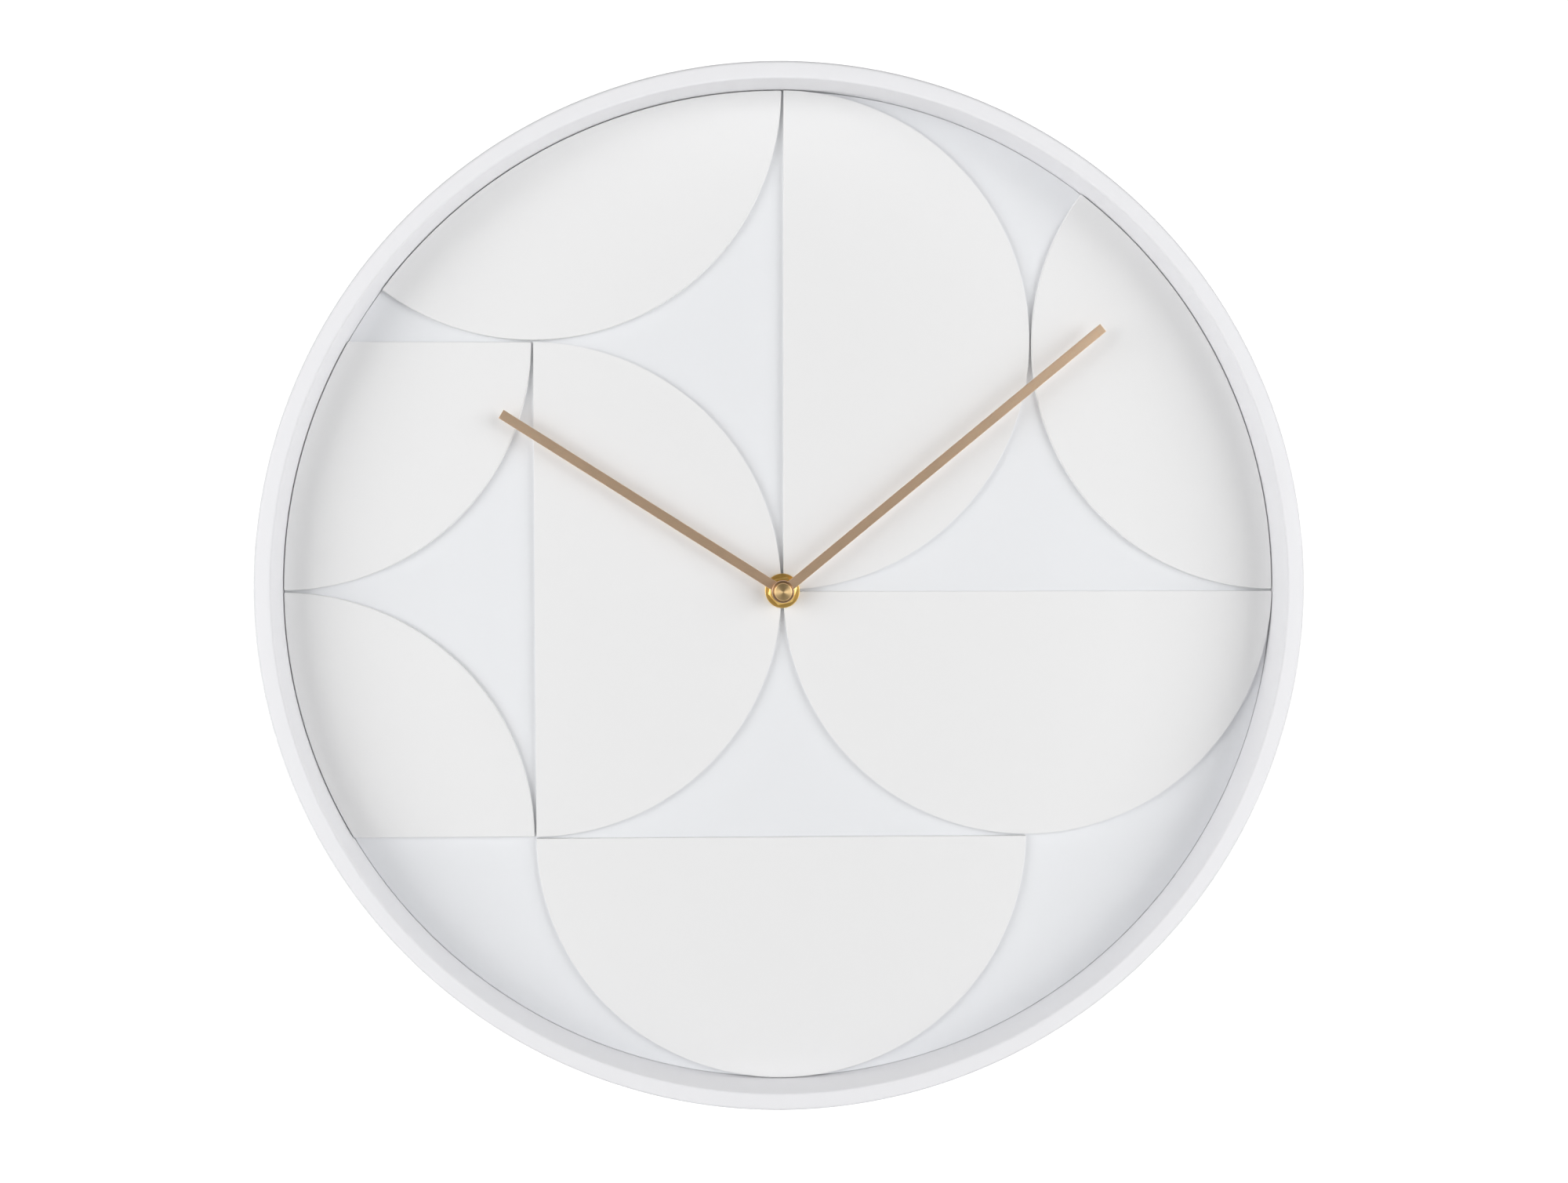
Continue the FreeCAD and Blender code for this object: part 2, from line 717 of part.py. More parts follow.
def spot(distance, bearing, start=(0.0, 0.0)):
    """A point at a distance and bearing (degrees, from +X towards +Z) from another."""
    reach = size(distance)
    angle = math.radians(size(bearing))
    return (start[0] + reach * math.cos(angle), start[1] + reach * math.sin(angle))


CENTRE = (0.0, 0.0)
MOTION_SPOT = spot("motion_distance", "motion_bearing")
THIRD_SPOT = spot("third_distance", "third_bearing")
FIFTH_SPOT = spot("fifth_distance", "fifth_bearing")
ROTOR_SPOT = spot("rotor_distance", "rotor_bearing", FIFTH_SPOT)
POSTS = [(-24.0, 7.0), (-24.0, -8.0), (24.0, -8.0), (24.0, 0.5)]
MOTOR_POSTS = [(4.0, 13.5), (23.5, 13.0)]
BOARD_SCREWS = [(-23.0, 23.5), (-3.0, 12.5)]
CHIP_SPOT = (-13.0, 17.0)
CRYSTAL_SPOT = (-21.0, 13.0)


def level_front(level):
    """The depth of the front face of the wheel on a level of the train."""
    return size(MOVEMENT_INNER + " + level_clearance + %g * level_step" % level)


def level_back(level):
    """The depth of the back face of the wheel on a level of the train."""
    return level_front(level) + size("wheel_thickness")


def block(width, front, back):
    """A square block of the movement case with rounded corners."""
    half = width / 2
    solid = slab(-half, half, front, back, -half, half)
    return solid.makeFillet(size("movement_round"), [edge for edge in solid.Edges if along_depth(edge)])


def make_movement_case():
    """The two halves of the movement's case, with one room for the train and one for the battery."""
    front = size(MOVEMENT_FRONT)
    inner = size(MOVEMENT_INNER)
    split = size(MOVEMENT_SPLIT)
    inner_back = size(MOVEMENT_INNER_BACK)
    back = size(MOVEMENT_BACK)
    room = size(HALF_ROOM)
    battery_top = size(BATTERY_TOP)
    wheel_floor = battery_top + size("movement_wall")
    width = size("movement_width")
    pivot = size("pivot_diameter / 2 + pivot_play")

    shell = block(width, front, split)
    shell = shell.cut(slab(-room, room, inner, split, wheel_floor, room))
    shell = shell.cut(slab(-room, room, inner, split, -room, battery_top))
    case_post = size("case_post / 2")
    shell = shell.fuse([rod(case_post, inner, level_front(4), *place) for place in POSTS])
    shell = shell.cut(rod(size("bush_diameter / 2"), front, inner))
    for place in (MOTION_SPOT, THIRD_SPOT):
        shell = shell.cut(rod(pivot, inner - size("bearing_depth"), inner, *place))
    add_shape("movement_front_case", shell.removeSplitter())

    cover = block(width, split, back)
    cover = cover.cut(slab(-room, room, split, inner_back, wheel_floor, room))
    cover = cover.cut(slab(-room, room, split, back, -room, battery_top))
    cover_post = size("cover_post / 2")
    gap = size("post_gap")
    stator_back = level_front(5) + size("stator_thickness")
    posts = [
        rod(case_post, level_back(5) + gap, inner_back, *CENTRE),
        rod(cover_post, level_back(6) + gap, inner_back, *FIFTH_SPOT),
        rod(cover_post, level_back(6) + 1.5 * gap, inner_back, *ROTOR_SPOT),
    ]
    posts += [rod(cover_post, level_back(4), inner_back, *place) for place in POSTS]
    posts += [rod(cover_post, stator_back, inner_back, *place) for place in MOTOR_POSTS]
    posts += [rod(case_post, board_back(), inner_back, *place) for place in BOARD_SCREWS]
    cover = cover.fuse(posts)
    bearing = size("long_pivot + pivot_play * 4")
    for place, start in ((CENTRE, level_back(5)), (FIFTH_SPOT, level_back(6)), (ROTOR_SPOT, level_back(6))):
        cover = cover.cut(rod(pivot, start, start + bearing, *place))
    pilot_back = board_back() + size("long_pivot")
    for place in BOARD_SCREWS:
        cover = cover.cut(rod(size("board_screw / 2"), board_back(), pilot_back, *place))
    cover = cover.cut(rod(size("knob_arbor_diameter / 2 + pivot_play"), inner_back, back, *MOTION_SPOT))
    add_shape("movement_rear_case", cover.removeSplitter())

    play = size("gear_plate_play")
    plate_front = level_front(4)
    plate_back = level_back(4)
    plate_low = wheel_floor + play
    plate_top = size("gear_plate_top")
    plate = slab(play - room, room - play, plate_front, plate_back, plate_low, plate_top)
    knob_hole = size("knob_arbor_diameter / 2 + 2 * pivot_play")
    plate = plate.cut(rod(knob_hole, plate_front, plate_back, *MOTION_SPOT))
    plate = plate.cut(rod(size("gear_plate_hole / 2"), plate_front, plate_back, *CENTRE))
    for place in (THIRD_SPOT, FIFTH_SPOT, ROTOR_SPOT):
        plate = plate.cut(rod(pivot, plate_front, plate_back, *place))
    add_shape("gear_plate", plate)


# ---------------------------------------------------------------------------------------------
# Gear train
# ---------------------------------------------------------------------------------------------

PRESSURE_ANGLE = math.radians(20)
BACKLASH = 0.12
WHEEL_ADDENDUM, WHEEL_DEDENDUM = 0.45, 1.1
PINION_ADDENDUM, PINION_DEDENDUM = 0.85, 0.75


def gear(teeth, module, phase, front, back, is_pinion=False):
    """A spur gear about the Y axis with involute flanks; phase is the bearing of one tooth's middle."""
    addendum = PINION_ADDENDUM if is_pinion else WHEEL_ADDENDUM
    dedendum = PINION_DEDENDUM if is_pinion else WHEEL_DEDENDUM
    pitch = module * teeth / 2
    base = pitch * math.cos(PRESSURE_ANGLE)
    tip = pitch + addendum * module
    root = pitch - dedendum * module
    start = max(base, root)

    def roll(radius):
        angle = math.acos(min(1.0, base / radius))
        return math.tan(angle) - angle

    def half_width(radius):
        return math.pi / (2 * teeth) - BACKLASH / (4 * pitch) + roll(pitch) - roll(radius)

    def point(radius, angle):
        return Vector(radius * math.cos(angle), front, radius * math.sin(angle))

    edges = []
    middle = (start + tip) / 2
    for tooth in range(teeth):
        axis = phase + 2 * math.pi * tooth / teeth
        following = axis + 2 * math.pi / teeth
        up = [point(r, axis - half_width(r)) for r in (start, middle, tip)]
        down = [point(r, axis + half_width(r)) for r in (tip, middle, start)]
        edges.append(Part.Arc(*up).toShape())
        edges.append(Part.makeLine(up[2], down[0]))
        edges.append(Part.Arc(*down).toShape())
        foot = down[2]
        heel = point(start, following - half_width(start))
        if start > root:
            low = point(root, axis + half_width(start))
            high = point(root, following - half_width(start))
            edges.append(Part.makeLine(foot, low))
            edges.append(Part.makeLine(low, high))
            edges.append(Part.makeLine(high, heel))
        else:
            edges.append(Part.makeLine(foot, heel))
    return Part.Face(Part.Wire(edges)).extrude(Vector(0, back - front, 0))


def mate_phase(here, there, module, teeth, phase, mate_teeth):
    """The phase that puts a gap of the gear there where the gear here has a tooth."""
    line = math.atan2(there[1] - here[1], there[0] - here[0])
    radius = module * teeth / 2
    mate_radius = module * mate_teeth / 2
    offset = (phase - line) * radius + math.pi * module / 2
    return line + math.pi - offset / mate_radius


CANNON_TEETH, MOTION_WHEEL_TEETH = 12, 36
MOTION_PINION_TEETH, HOUR_WHEEL_TEETH = 10, 40
CENTRE_WHEEL_TEETH, THIRD_PINION_TEETH = 64, 8
THIRD_WHEEL_TEETH, SECONDS_PINION_TEETH = 60, 8
SECONDS_WHEEL_TEETH, FIFTH_PINION_TEETH = 50, 10
FIFTH_WHEEL_TEETH, ROTOR_PINION_TEETH = 48, 8
KNOB_GROOVES = 18


def module_for(distance, teeth, mate_teeth):
    """The module that fits a pair of gears to the distance between their arbors."""
    return 2 * size(distance) / (teeth + mate_teeth)


def make_motion_work():
    """The minute pipe drives the motion wheel, whose pinion turns the hour wheel once in twelve hours."""
    fit = size("running_fit")
    minute_radius = size("minute_pipe_diameter / 2")
    hour_radius = size("hour_pipe_diameter / 2")
    stub = size("stub_diameter / 2")
    pivot = size("pivot_diameter / 2")
    half_pinion = size("(pinion_length - wheel_thickness) / 2")
    pipe_end = size("pipe_end")
    long_pivot = size("long_pivot")
    stub_end = level_back(2) + size("level_clearance")
    fast = module_for("motion_distance", CANNON_TEETH, MOTION_WHEEL_TEETH)
    slow = module_for("motion_distance", MOTION_PINION_TEETH, HOUR_WHEEL_TEETH)

    cannon_front = level_front(1) - half_pinion
    cannon_back = level_back(1) + half_pinion
    pipe = rod(minute_radius, -size("minute_hand_front + cap_height / 3"), cannon_front)
    pipe = pipe.fuse(gear(CANNON_TEETH, fast, 0.0, cannon_front, cannon_back, True))
    pipe = pipe.fuse(rod(stub, cannon_back, stub_end))
    pipe = pipe.cut(rod(pivot + fit, level_back(2) - long_pivot, stub_end))
    add_shape("minute_pipe", pipe.removeSplitter())

    hour = gear(HOUR_WHEEL_TEETH, slow, 0.0, level_front(0), level_back(0))
    hour = hour.fuse(rod(hour_radius, -size("hour_hand_front") - pipe_end, level_front(0)))
    hour = hour.cut(rod(minute_radius + fit, -size("hour_hand_front") - pipe_end, level_back(0)))
    add_shape("hour_wheel", hour.removeSplitter())

    wheel_phase = mate_phase(CENTRE, MOTION_SPOT, fast, CANNON_TEETH, 0.0, MOTION_WHEEL_TEETH)
    pinion_phase = mate_phase(CENTRE, MOTION_SPOT, slow, HOUR_WHEEL_TEETH, 0.0, MOTION_PINION_TEETH)
    knob_seat = size(MOVEMENT_BACK + " + knob_gap")
    knob_back = knob_seat + size("knob_height")
    grip_end = knob_seat + size("knob_grip")
    arbor = rod(pivot, size(MOVEMENT_INNER + " - pivot_reach"), level_front(0) - half_pinion)
    arbor = arbor.fuse(gear(MOTION_PINION_TEETH, slow, pinion_phase, level_front(0) - half_pinion,
                            level_front(1), True))
    arbor = arbor.fuse(gear(MOTION_WHEEL_TEETH, fast, wheel_phase, level_front(1), level_back(1)))
    arbor = arbor.fuse(rod(size("knob_arbor_diameter / 2"), level_back(1), grip_end))
    add_shape("motion_wheel", arbor.removeSplitter(), *MOTION_SPOT)

    knob = rod(size("knob_diameter / 2"), knob_seat, knob_back)
    reach = size("knob_diameter / 2 + knob_groove / 4")
    for number in range(KNOB_GROOVES):
        angle = 2 * math.pi * number / KNOB_GROOVES
        knob = knob.cut(rod(size("knob_groove / 2"), knob_seat, knob_back,
                            reach * math.cos(angle), reach * math.sin(angle)))
    knob = knob.cut(rod(size("knob_arbor_diameter / 2"), knob_seat, grip_end))
    add_shape("setting_knob", knob, *MOTION_SPOT)


def compound_wheel(label, place, wheel, wheel_level, pinion, pinion_level, rods):
    """A wheel and its pinion on one arbor; wheel and pinion are (teeth, module, phase)."""
    half_pinion = size("(pinion_length - wheel_thickness) / 2")
    shape = gear(*wheel, level_front(wheel_level), level_back(wheel_level))
    shape = shape.fuse(gear(*pinion, level_front(pinion_level) - half_pinion,
                            level_back(pinion_level) + half_pinion, True))
    shape = shape.fuse([rod(*item) for item in rods])
    return add_shape(label, shape.removeSplitter(), *place)


def make_going_train():
    """From the rotor to the centre wheel, which drives the minute pipe through the clutch spring."""
    arbor = size("arbor_diameter / 2")
    pivot = size("pivot_diameter / 2")
    stub = size("stub_diameter / 2")
    pivot_front = size(MOVEMENT_INNER + " - pivot_reach")
    long_pivot = size("long_pivot")
    end_shake = size("end_shake")
    centre_module = module_for("third_distance", CENTRE_WHEEL_TEETH, THIRD_PINION_TEETH)
    third_module = module_for("third_distance", THIRD_WHEEL_TEETH, SECONDS_PINION_TEETH)
    seconds_module = module_for("fifth_distance", SECONDS_WHEEL_TEETH, FIFTH_PINION_TEETH)
    fifth_module = module_for("rotor_distance", FIFTH_WHEEL_TEETH, ROTOR_PINION_TEETH)

    spring_front = level_back(1) + size("(pinion_length - wheel_thickness) / 2")
    spring_back = level_front(2) - size("pivot_play")
    spring = rod(size("clutch_diameter / 2"), spring_front, spring_back)
    add_shape("clutch_spring", spring.cut(rod(stub, spring_front, spring_back)))
    centre = gear(CENTRE_WHEEL_TEETH, centre_module, 0.0, level_front(2), level_back(2))
    centre = centre.cut(rod(stub + size("pivot_play"), level_front(2), level_back(2)))
    add_shape("centre_wheel", centre)

    third_phase = mate_phase(CENTRE, THIRD_SPOT, centre_module, CENTRE_WHEEL_TEETH, 0.0, THIRD_PINION_TEETH)
    third_pinion = (THIRD_PINION_TEETH, centre_module, third_phase)
    compound_wheel("third_wheel", THIRD_SPOT, (THIRD_WHEEL_TEETH, third_module, 0.0), 3, third_pinion, 2, [
        (pivot, pivot_front, level_front(1)),
        (arbor, level_front(1), level_front(4) - 2 * end_shake),
        (pivot, level_front(3), level_back(4) - end_shake),
    ])
    seconds_phase = mate_phase(
        THIRD_SPOT, CENTRE, third_module, THIRD_WHEEL_TEETH, 0.0, SECONDS_PINION_TEETH)
    seconds_pinion = (SECONDS_PINION_TEETH, third_module, seconds_phase)
    compound_wheel("seconds_wheel", CENTRE, (SECONDS_WHEEL_TEETH, seconds_module, 0.0), 5,
                   seconds_pinion, 3, [
        (pivot, level_front(2) - size("level_clearance"), level_front(3)),
        (arbor, level_back(3), level_front(5)),
        (pivot, level_front(5), level_back(5) + long_pivot),
    ])
    fifth_phase = mate_phase(
        CENTRE, FIFTH_SPOT, seconds_module, SECONDS_WHEEL_TEETH, 0.0, FIFTH_PINION_TEETH)
    fifth_pinion = (FIFTH_PINION_TEETH, seconds_module, fifth_phase)
    compound_wheel("fifth_wheel", FIFTH_SPOT, (FIFTH_WHEEL_TEETH, fifth_module, 0.0), 6, fifth_pinion, 5, [
        (pivot, level_front(4) + end_shake, level_front(5)),
        (arbor, level_back(5), level_front(6)),
        (pivot, level_front(6), level_back(6) + long_pivot),
    ])
    rotor_phase = mate_phase(FIFTH_SPOT, ROTOR_SPOT, fifth_module, FIFTH_WHEEL_TEETH, 0.0, ROTOR_PINION_TEETH)
    magnet_front = level_front(5) - 3 * end_shake
    magnet_back = magnet_front + size("magnet_length")
    pinion_back = level_back(6) + 2 * end_shake
    pinion = gear(ROTOR_PINION_TEETH, fifth_module, rotor_phase, magnet_back, pinion_back, True)
    pinion = pinion.fuse([
        rod(pivot, level_front(4) + end_shake, magnet_front),
        rod(arbor, magnet_front, magnet_back),
        rod(pivot, level_back(6), level_back(6) + long_pivot),
    ])
    add_shape("rotor_pinion", pinion.removeSplitter(), *ROTOR_SPOT)
    magnet = rod(size("magnet_diameter / 2"), magnet_front, magnet_back)
    add_shape("rotor_magnet", magnet.cut(rod(arbor, magnet_front, magnet_back)), *ROTOR_SPOT)


# ---------------------------------------------------------------------------------------------
# Motor, circuit and battery
# ---------------------------------------------------------------------------------------------

def board_front():
    """The depth of the circuit board's front face."""
    return level_back(6) + size("board_gap")


def board_back():
    """The depth of the circuit board's back face."""
    return board_front() + size("board_thickness")


def make_motor():
    """The stator round the rotor, and the coil on its core between the stator's two legs."""
    front = level_front(5)
    back = front + size("stator_thickness")
    coil_up = size("coil_height")
    left_side = size("stator_left")
    right_side = size("stator_right")
    leg = size("stator_leg")
    top = size("stator_top")
    arm_low = size("stator_arm_low")
    foot_low = size("stator_foot_low")
    stator = rod(size("stator_boss / 2"), front, back, *ROTOR_SPOT).fuse([
        slab(left_side, left_side + leg, front, back, arm_low, top),
        slab(right_side - leg, right_side, front, back, foot_low, top),
        slab(left_side, ROTOR_SPOT[0], front, back, arm_low, size("stator_arm_high")),
        slab(ROTOR_SPOT[0], right_side, front, back, foot_low, size("stator_foot_high")),
    ])
    stator = stator.cut(rod(size("stator_hole / 2"), front, back, *ROTOR_SPOT))
    add_shape("stator", stator.removeSplitter())

    half_core = size("core_width / 2")
    core_back = back + size("stator_thickness")
    core = slab(left_side, right_side, back, core_back, coil_up - half_core, coil_up + half_core)
    add_shape("coil_core", core)

    left = size("coil_left")
    right = size("coil_right")
    flange = size("bobbin_flange")
    middle = Vector(left, (back + core_back) / 2, coil_up)

    def drum(diameter, start, end):
        foot = middle + Vector(start - left, 0, 0)
        return Part.makeCylinder(diameter / 2, end - start, foot, Vector(1, 0, 0))

    coil = size("coil_diameter")
    barrel = size("bobbin_diameter")
    bobbin = drum(barrel, left, right)
    bobbin = bobbin.fuse([drum(coil, left, left + flange), drum(coil, right - flange, right)])
    bobbin = bobbin.cut(slab(left, right, back, core_back, coil_up - half_core, coil_up + half_core))
    add_shape("coil_bobbin", bobbin.removeSplitter())
    winding = drum(coil - size("bobbin_flange / 2"), left + flange, right - flange)
    add_shape("coil_winding", winding.cut(drum(barrel, left + flange, right - flange)))


def make_circuit():
    """The circuit board with the clock chip, the crystal and its two screws."""
    front = board_front()
    back = board_back()
    thread = size("board_screw / 2")
    board = slab(-size("board_left"), size("board_right"), front, back, size("board_low"), size("board_high"))
    for place in BOARD_SCREWS:
        board = board.cut(rod(thread, front, back, *place))
    add_shape("circuit_board", board)
    chip_back = back + size("chip_height")
    chip = rod(size("chip_diameter / 2"), back, chip_back, *CHIP_SPOT)
    chip_edges = [edge for edge in chip.Edges if flat_at(chip_back)(edge)]
    add_shape("clock_chip", chip.makeFillet(size("chip_round"), chip_edges))
    radius = size("crystal_diameter / 2")
    foot = Vector(CRYSTAL_SPOT[0], front - radius, CRYSTAL_SPOT[1])
    crystal = Part.makeCylinder(radius, size("crystal_length"), foot, Vector(1, 0, 0))
    add_shape("quartz_crystal", crystal.makeFillet(size("crystal_round"), crystal.Edges[:1]))
    head_front = front - size("board_screw_height")
    shank_back = back + size("board_screw_reach")
    screws = []
    for place in BOARD_SCREWS:
        head = rod(size("board_screw_head / 2"), head_front, front, *place)
        screws.append(head.fuse(rod(thread, front, shank_back, *place)))
    add_shape("board_screws", Part.makeCompound([screw.removeSplitter() for screw in screws]))


# How far the leaf's inner edge steps in for its thickness, where it leaves the wall at a slant
LEAF_SLANT = 14 / 3


def make_battery():
    """The cell in its bay, and the two contacts at the bay's ends."""
    room = size(HALF_ROOM)
    depth = size(BATTERY_DEPTH)
    up = size(BATTERY_UP)
    strip = size("contact_thickness")
    half = size("battery_length / 2")
    battery = add_body("battery", BATTERY_DEPTH)
    bind(battery, "Placement.Base.z", BATTERY_UP)
    section = add_sketch(battery, "section", "XY_Plane")
    end = "battery_length / 2 - battery_nub_height"
    radius = "battery_diameter / 2"
    nub = "battery_nub_diameter / 2"
    draw_outline(section, [
        ("-battery_length / 2", "0"),
        ("-battery_length / 2", radius),
        (end, radius),
        (end, nub),
        ("battery_length / 2", nub),
        ("battery_length / 2", "0"),
    ])
    revolve(battery, section, "H_Axis")

    front = size(MOVEMENT_INNER + " + contact_inset")
    back = size(MOVEMENT_BACK + " - contact_inset")
    reach = size("contact_width / 2")
    plate = slab(half, half + strip, front, back, up - reach, up + reach)
    foot = slab(half, room, front, front + strip, up - reach, up + reach)
    add_shape("battery_contact_plus", plate.fuse(foot).removeSplitter())
    wall = -room
    spread = size("leaf_spread / 2")
    nose = size("leaf_nose / 2")
    width = size("leaf_width")
    inside = spread - LEAF_SLANT * strip
    leaf = [
        (wall, up - spread),
        (wall, up + spread),
        (wall + strip, up + spread),
        (-half, up + nose),
        (-half, up - nose),
        (wall + strip, up - spread),
    ]
    hollow = [
        (wall + strip, up + inside),
        (-half - strip, up + nose),
        (-half - strip, up - nose),
        (wall + strip, up - inside),
    ]
    shapes = []
    for outline in (leaf, hollow):
        points = [Vector(across, depth - width / 2, height) for across, height in outline]
        face = Part.Face(Part.makePolygon(points + points[:1]))
        shapes.append(face.extrude(Vector(0, width, 0)))
    add_shape("battery_contact_minus", shapes[0].cut(shapes[1]))


# ---------------------------------------------------------------------------------------------
# Build, check and write
# ---------------------------------------------------------------------------------------------

def check_document():
    """Stop if any object failed or any piece has no sound solid."""
    doc.recompute()
    for item in doc.Objects:
        if "Invalid" in item.State or "Error" in item.State:
            raise RuntimeError("%s failed: %s" % (item.Label, item.State))
    for item in pieces:
        if item.Shape.isNull() or not item.Shape.isValid() or not item.Shape.Solids:
            raise RuntimeError("%s has no valid solid" % item.Label)


def write_pieces():
    """Write each piece to its own file, named after the piece."""
    os.makedirs("parts", exist_ok=True)
    for item in pieces:
        item.Shape.exportStep("parts/%s.step" % item.Label)


make_case_ring()
make_dial_plate()
for tile in TILES:
    make_tile(*tile)
make_screws("dial_screws", LEDGE_BACK, [DIAL_SCREW], "wide_head_diameter",
            "ledge_thickness + dial_screw_reach", SCREWS_PER_RING)
make_back_cover()
make_screws("cover_screws", COVER_BACK, [COVER_SCREW], "screw_head_diameter",
            "cover_thickness + cover_screw_reach - pilot_floor", SCREWS_PER_RING)
make_keyhole_hanger()
make_screws("hanger_screws", COVER_BACK + " + hanger_thickness", HANGER_SCREWS, "screw_head_diameter",
            "hanger_thickness + cover_thickness + rib_height - 2 * pilot_floor")
make_fixing()
make_hands()
make_movement_case()
make_motion_work()
make_going_train()
make_motor()
make_circuit()
make_battery()
check_document()
write_pieces()
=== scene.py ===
import json
import math

import bmesh
import bpy
from mathutils import Matrix, Vector


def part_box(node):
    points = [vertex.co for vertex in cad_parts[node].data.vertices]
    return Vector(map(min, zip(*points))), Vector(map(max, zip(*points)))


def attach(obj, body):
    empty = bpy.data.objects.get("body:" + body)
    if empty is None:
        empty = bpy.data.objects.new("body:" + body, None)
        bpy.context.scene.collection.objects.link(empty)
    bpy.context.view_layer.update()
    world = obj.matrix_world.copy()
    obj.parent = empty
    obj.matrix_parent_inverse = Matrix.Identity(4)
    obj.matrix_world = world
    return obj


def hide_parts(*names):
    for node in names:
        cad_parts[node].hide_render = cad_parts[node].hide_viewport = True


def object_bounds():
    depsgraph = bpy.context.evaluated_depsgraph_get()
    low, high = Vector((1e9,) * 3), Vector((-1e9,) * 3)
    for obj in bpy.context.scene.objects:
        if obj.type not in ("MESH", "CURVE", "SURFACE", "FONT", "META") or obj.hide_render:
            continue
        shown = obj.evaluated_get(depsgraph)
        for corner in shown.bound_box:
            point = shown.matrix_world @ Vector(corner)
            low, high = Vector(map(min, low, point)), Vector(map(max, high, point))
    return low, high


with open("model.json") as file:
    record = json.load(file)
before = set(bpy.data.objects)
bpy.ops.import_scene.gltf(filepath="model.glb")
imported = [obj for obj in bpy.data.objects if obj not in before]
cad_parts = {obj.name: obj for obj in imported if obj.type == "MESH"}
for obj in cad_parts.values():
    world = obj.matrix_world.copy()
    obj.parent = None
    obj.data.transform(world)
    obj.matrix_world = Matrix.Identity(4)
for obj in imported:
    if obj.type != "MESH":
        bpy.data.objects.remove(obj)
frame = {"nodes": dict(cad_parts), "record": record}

bl_info = {
    "name": "Wall Clock with Raised Dial",
    "version": (1, 0, 0),
    "blender": (4, 5, 0),
    "location": "3D View > Sidebar > Wall Clock",
    "description": "Builds a white wall clock around its packed frame",
    "category": "Add Mesh",
}

# Metres, +Z up. The clock faces -Y and its origin is the centre of the plane that rests on the wall,
# so every depth is a negative y.
CAD_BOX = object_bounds()
CASE_LOW, CASE_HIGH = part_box("case_ring")
DIAL_LOW, DIAL_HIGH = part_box("dial_plate")
TILE_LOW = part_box("tile_lower_centre")[0]
WASHER_LOW, WASHER_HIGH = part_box("dial_washer")
NUT_LOW, NUT_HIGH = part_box("dial_nut")
CAP_LOW, CAP_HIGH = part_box("hand_cap")
KNOB_LOW, KNOB_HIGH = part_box("setting_knob")
BATTERY_LOW, BATTERY_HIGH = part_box("battery")
COVER_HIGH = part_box("back_cover")[1]
MOVEMENT_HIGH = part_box("movement_rear_case")[1]
KNOB_MIDDLE = (KNOB_LOW + KNOB_HIGH) / 2

CASE_RADIUS = CASE_HIGH.x
CASE_FRONT = CASE_LOW.y
CASE_BACK = CASE_HIGH.y
DIAL_CLEARANCE = 0.0002
BORE_RADIUS = DIAL_HIGH.x + DIAL_CLEARANCE
DIAL_FRONT = DIAL_LOW.y
DIAL_BACK = DIAL_FRONT + 0.0025
HUB_HOLE_RADIUS = 0.0043
COVER_THICKNESS = 0.002
COVER_FRONT_FACE = COVER_HIGH.y - COVER_THICKNESS
MERGE_DISTANCE = 1e-7
COPY_MERGE_DISTANCE = 1e-6
FLAT_DEGREES = 0.5
SHARP_DEGREES = 30.0
TURNED_MAP = "turned"
TURNED_MAP_SCALE = 20.0

LEFT, RIGHT, UP, DOWN = (-1, 0), (1, 0), (0, 1), (0, -1)
# Each tile: the centre of its half disc, counted in halves of the bore radius, and the way that its
# round side faces.
TILES = {
    "tile_upper_left": (-1, 2, DOWN),
    "tile_upper_centre": (0, 1, RIGHT),
    "tile_upper_right": (2, 1, LEFT),
    "tile_left_upper": (-2, 1, DOWN),
    "tile_left_lower": (-2, -1, UP),
    "tile_centre_left": (-1, 0, RIGHT),
    "tile_centre_right": (1, 0, DOWN),
    "tile_lower_centre": (0, -1, DOWN),
}


# ---------------------------------------------------------------------------------------------
# Settings
# ---------------------------------------------------------------------------------------------

def bearing(name, description, degrees):
    return bpy.props.FloatProperty(
        name=name, description=description, default=math.radians(degrees), subtype="ANGLE")


def power(name, description, default):
    return bpy.props.FloatProperty(
        name=name, description=description, default=default, min=0.0, unit="POWER")


def length(name, description, default):
    """A property for a length in metres."""
    return bpy.props.FloatProperty(
        name=name, description=description, default=default, min=0.0, precision=5, unit="LENGTH")


def colour(name, description, default):
    """A property for a linear colour."""
    return bpy.props.FloatVectorProperty(
        name=name, description=description, default=default, size=3, min=0.0, max=1.0, subtype="COLOR")


def factor(name, description, default):
    """A property for a share between none and all."""
    return bpy.props.FloatProperty(
        name=name, description=description, default=default, min=0.0, max=1.0, subtype="FACTOR")


def count(name, description, default):
    """A property for a whole number of copies or steps."""
    return bpy.props.IntProperty(name=name, description=description, default=default, min=1)


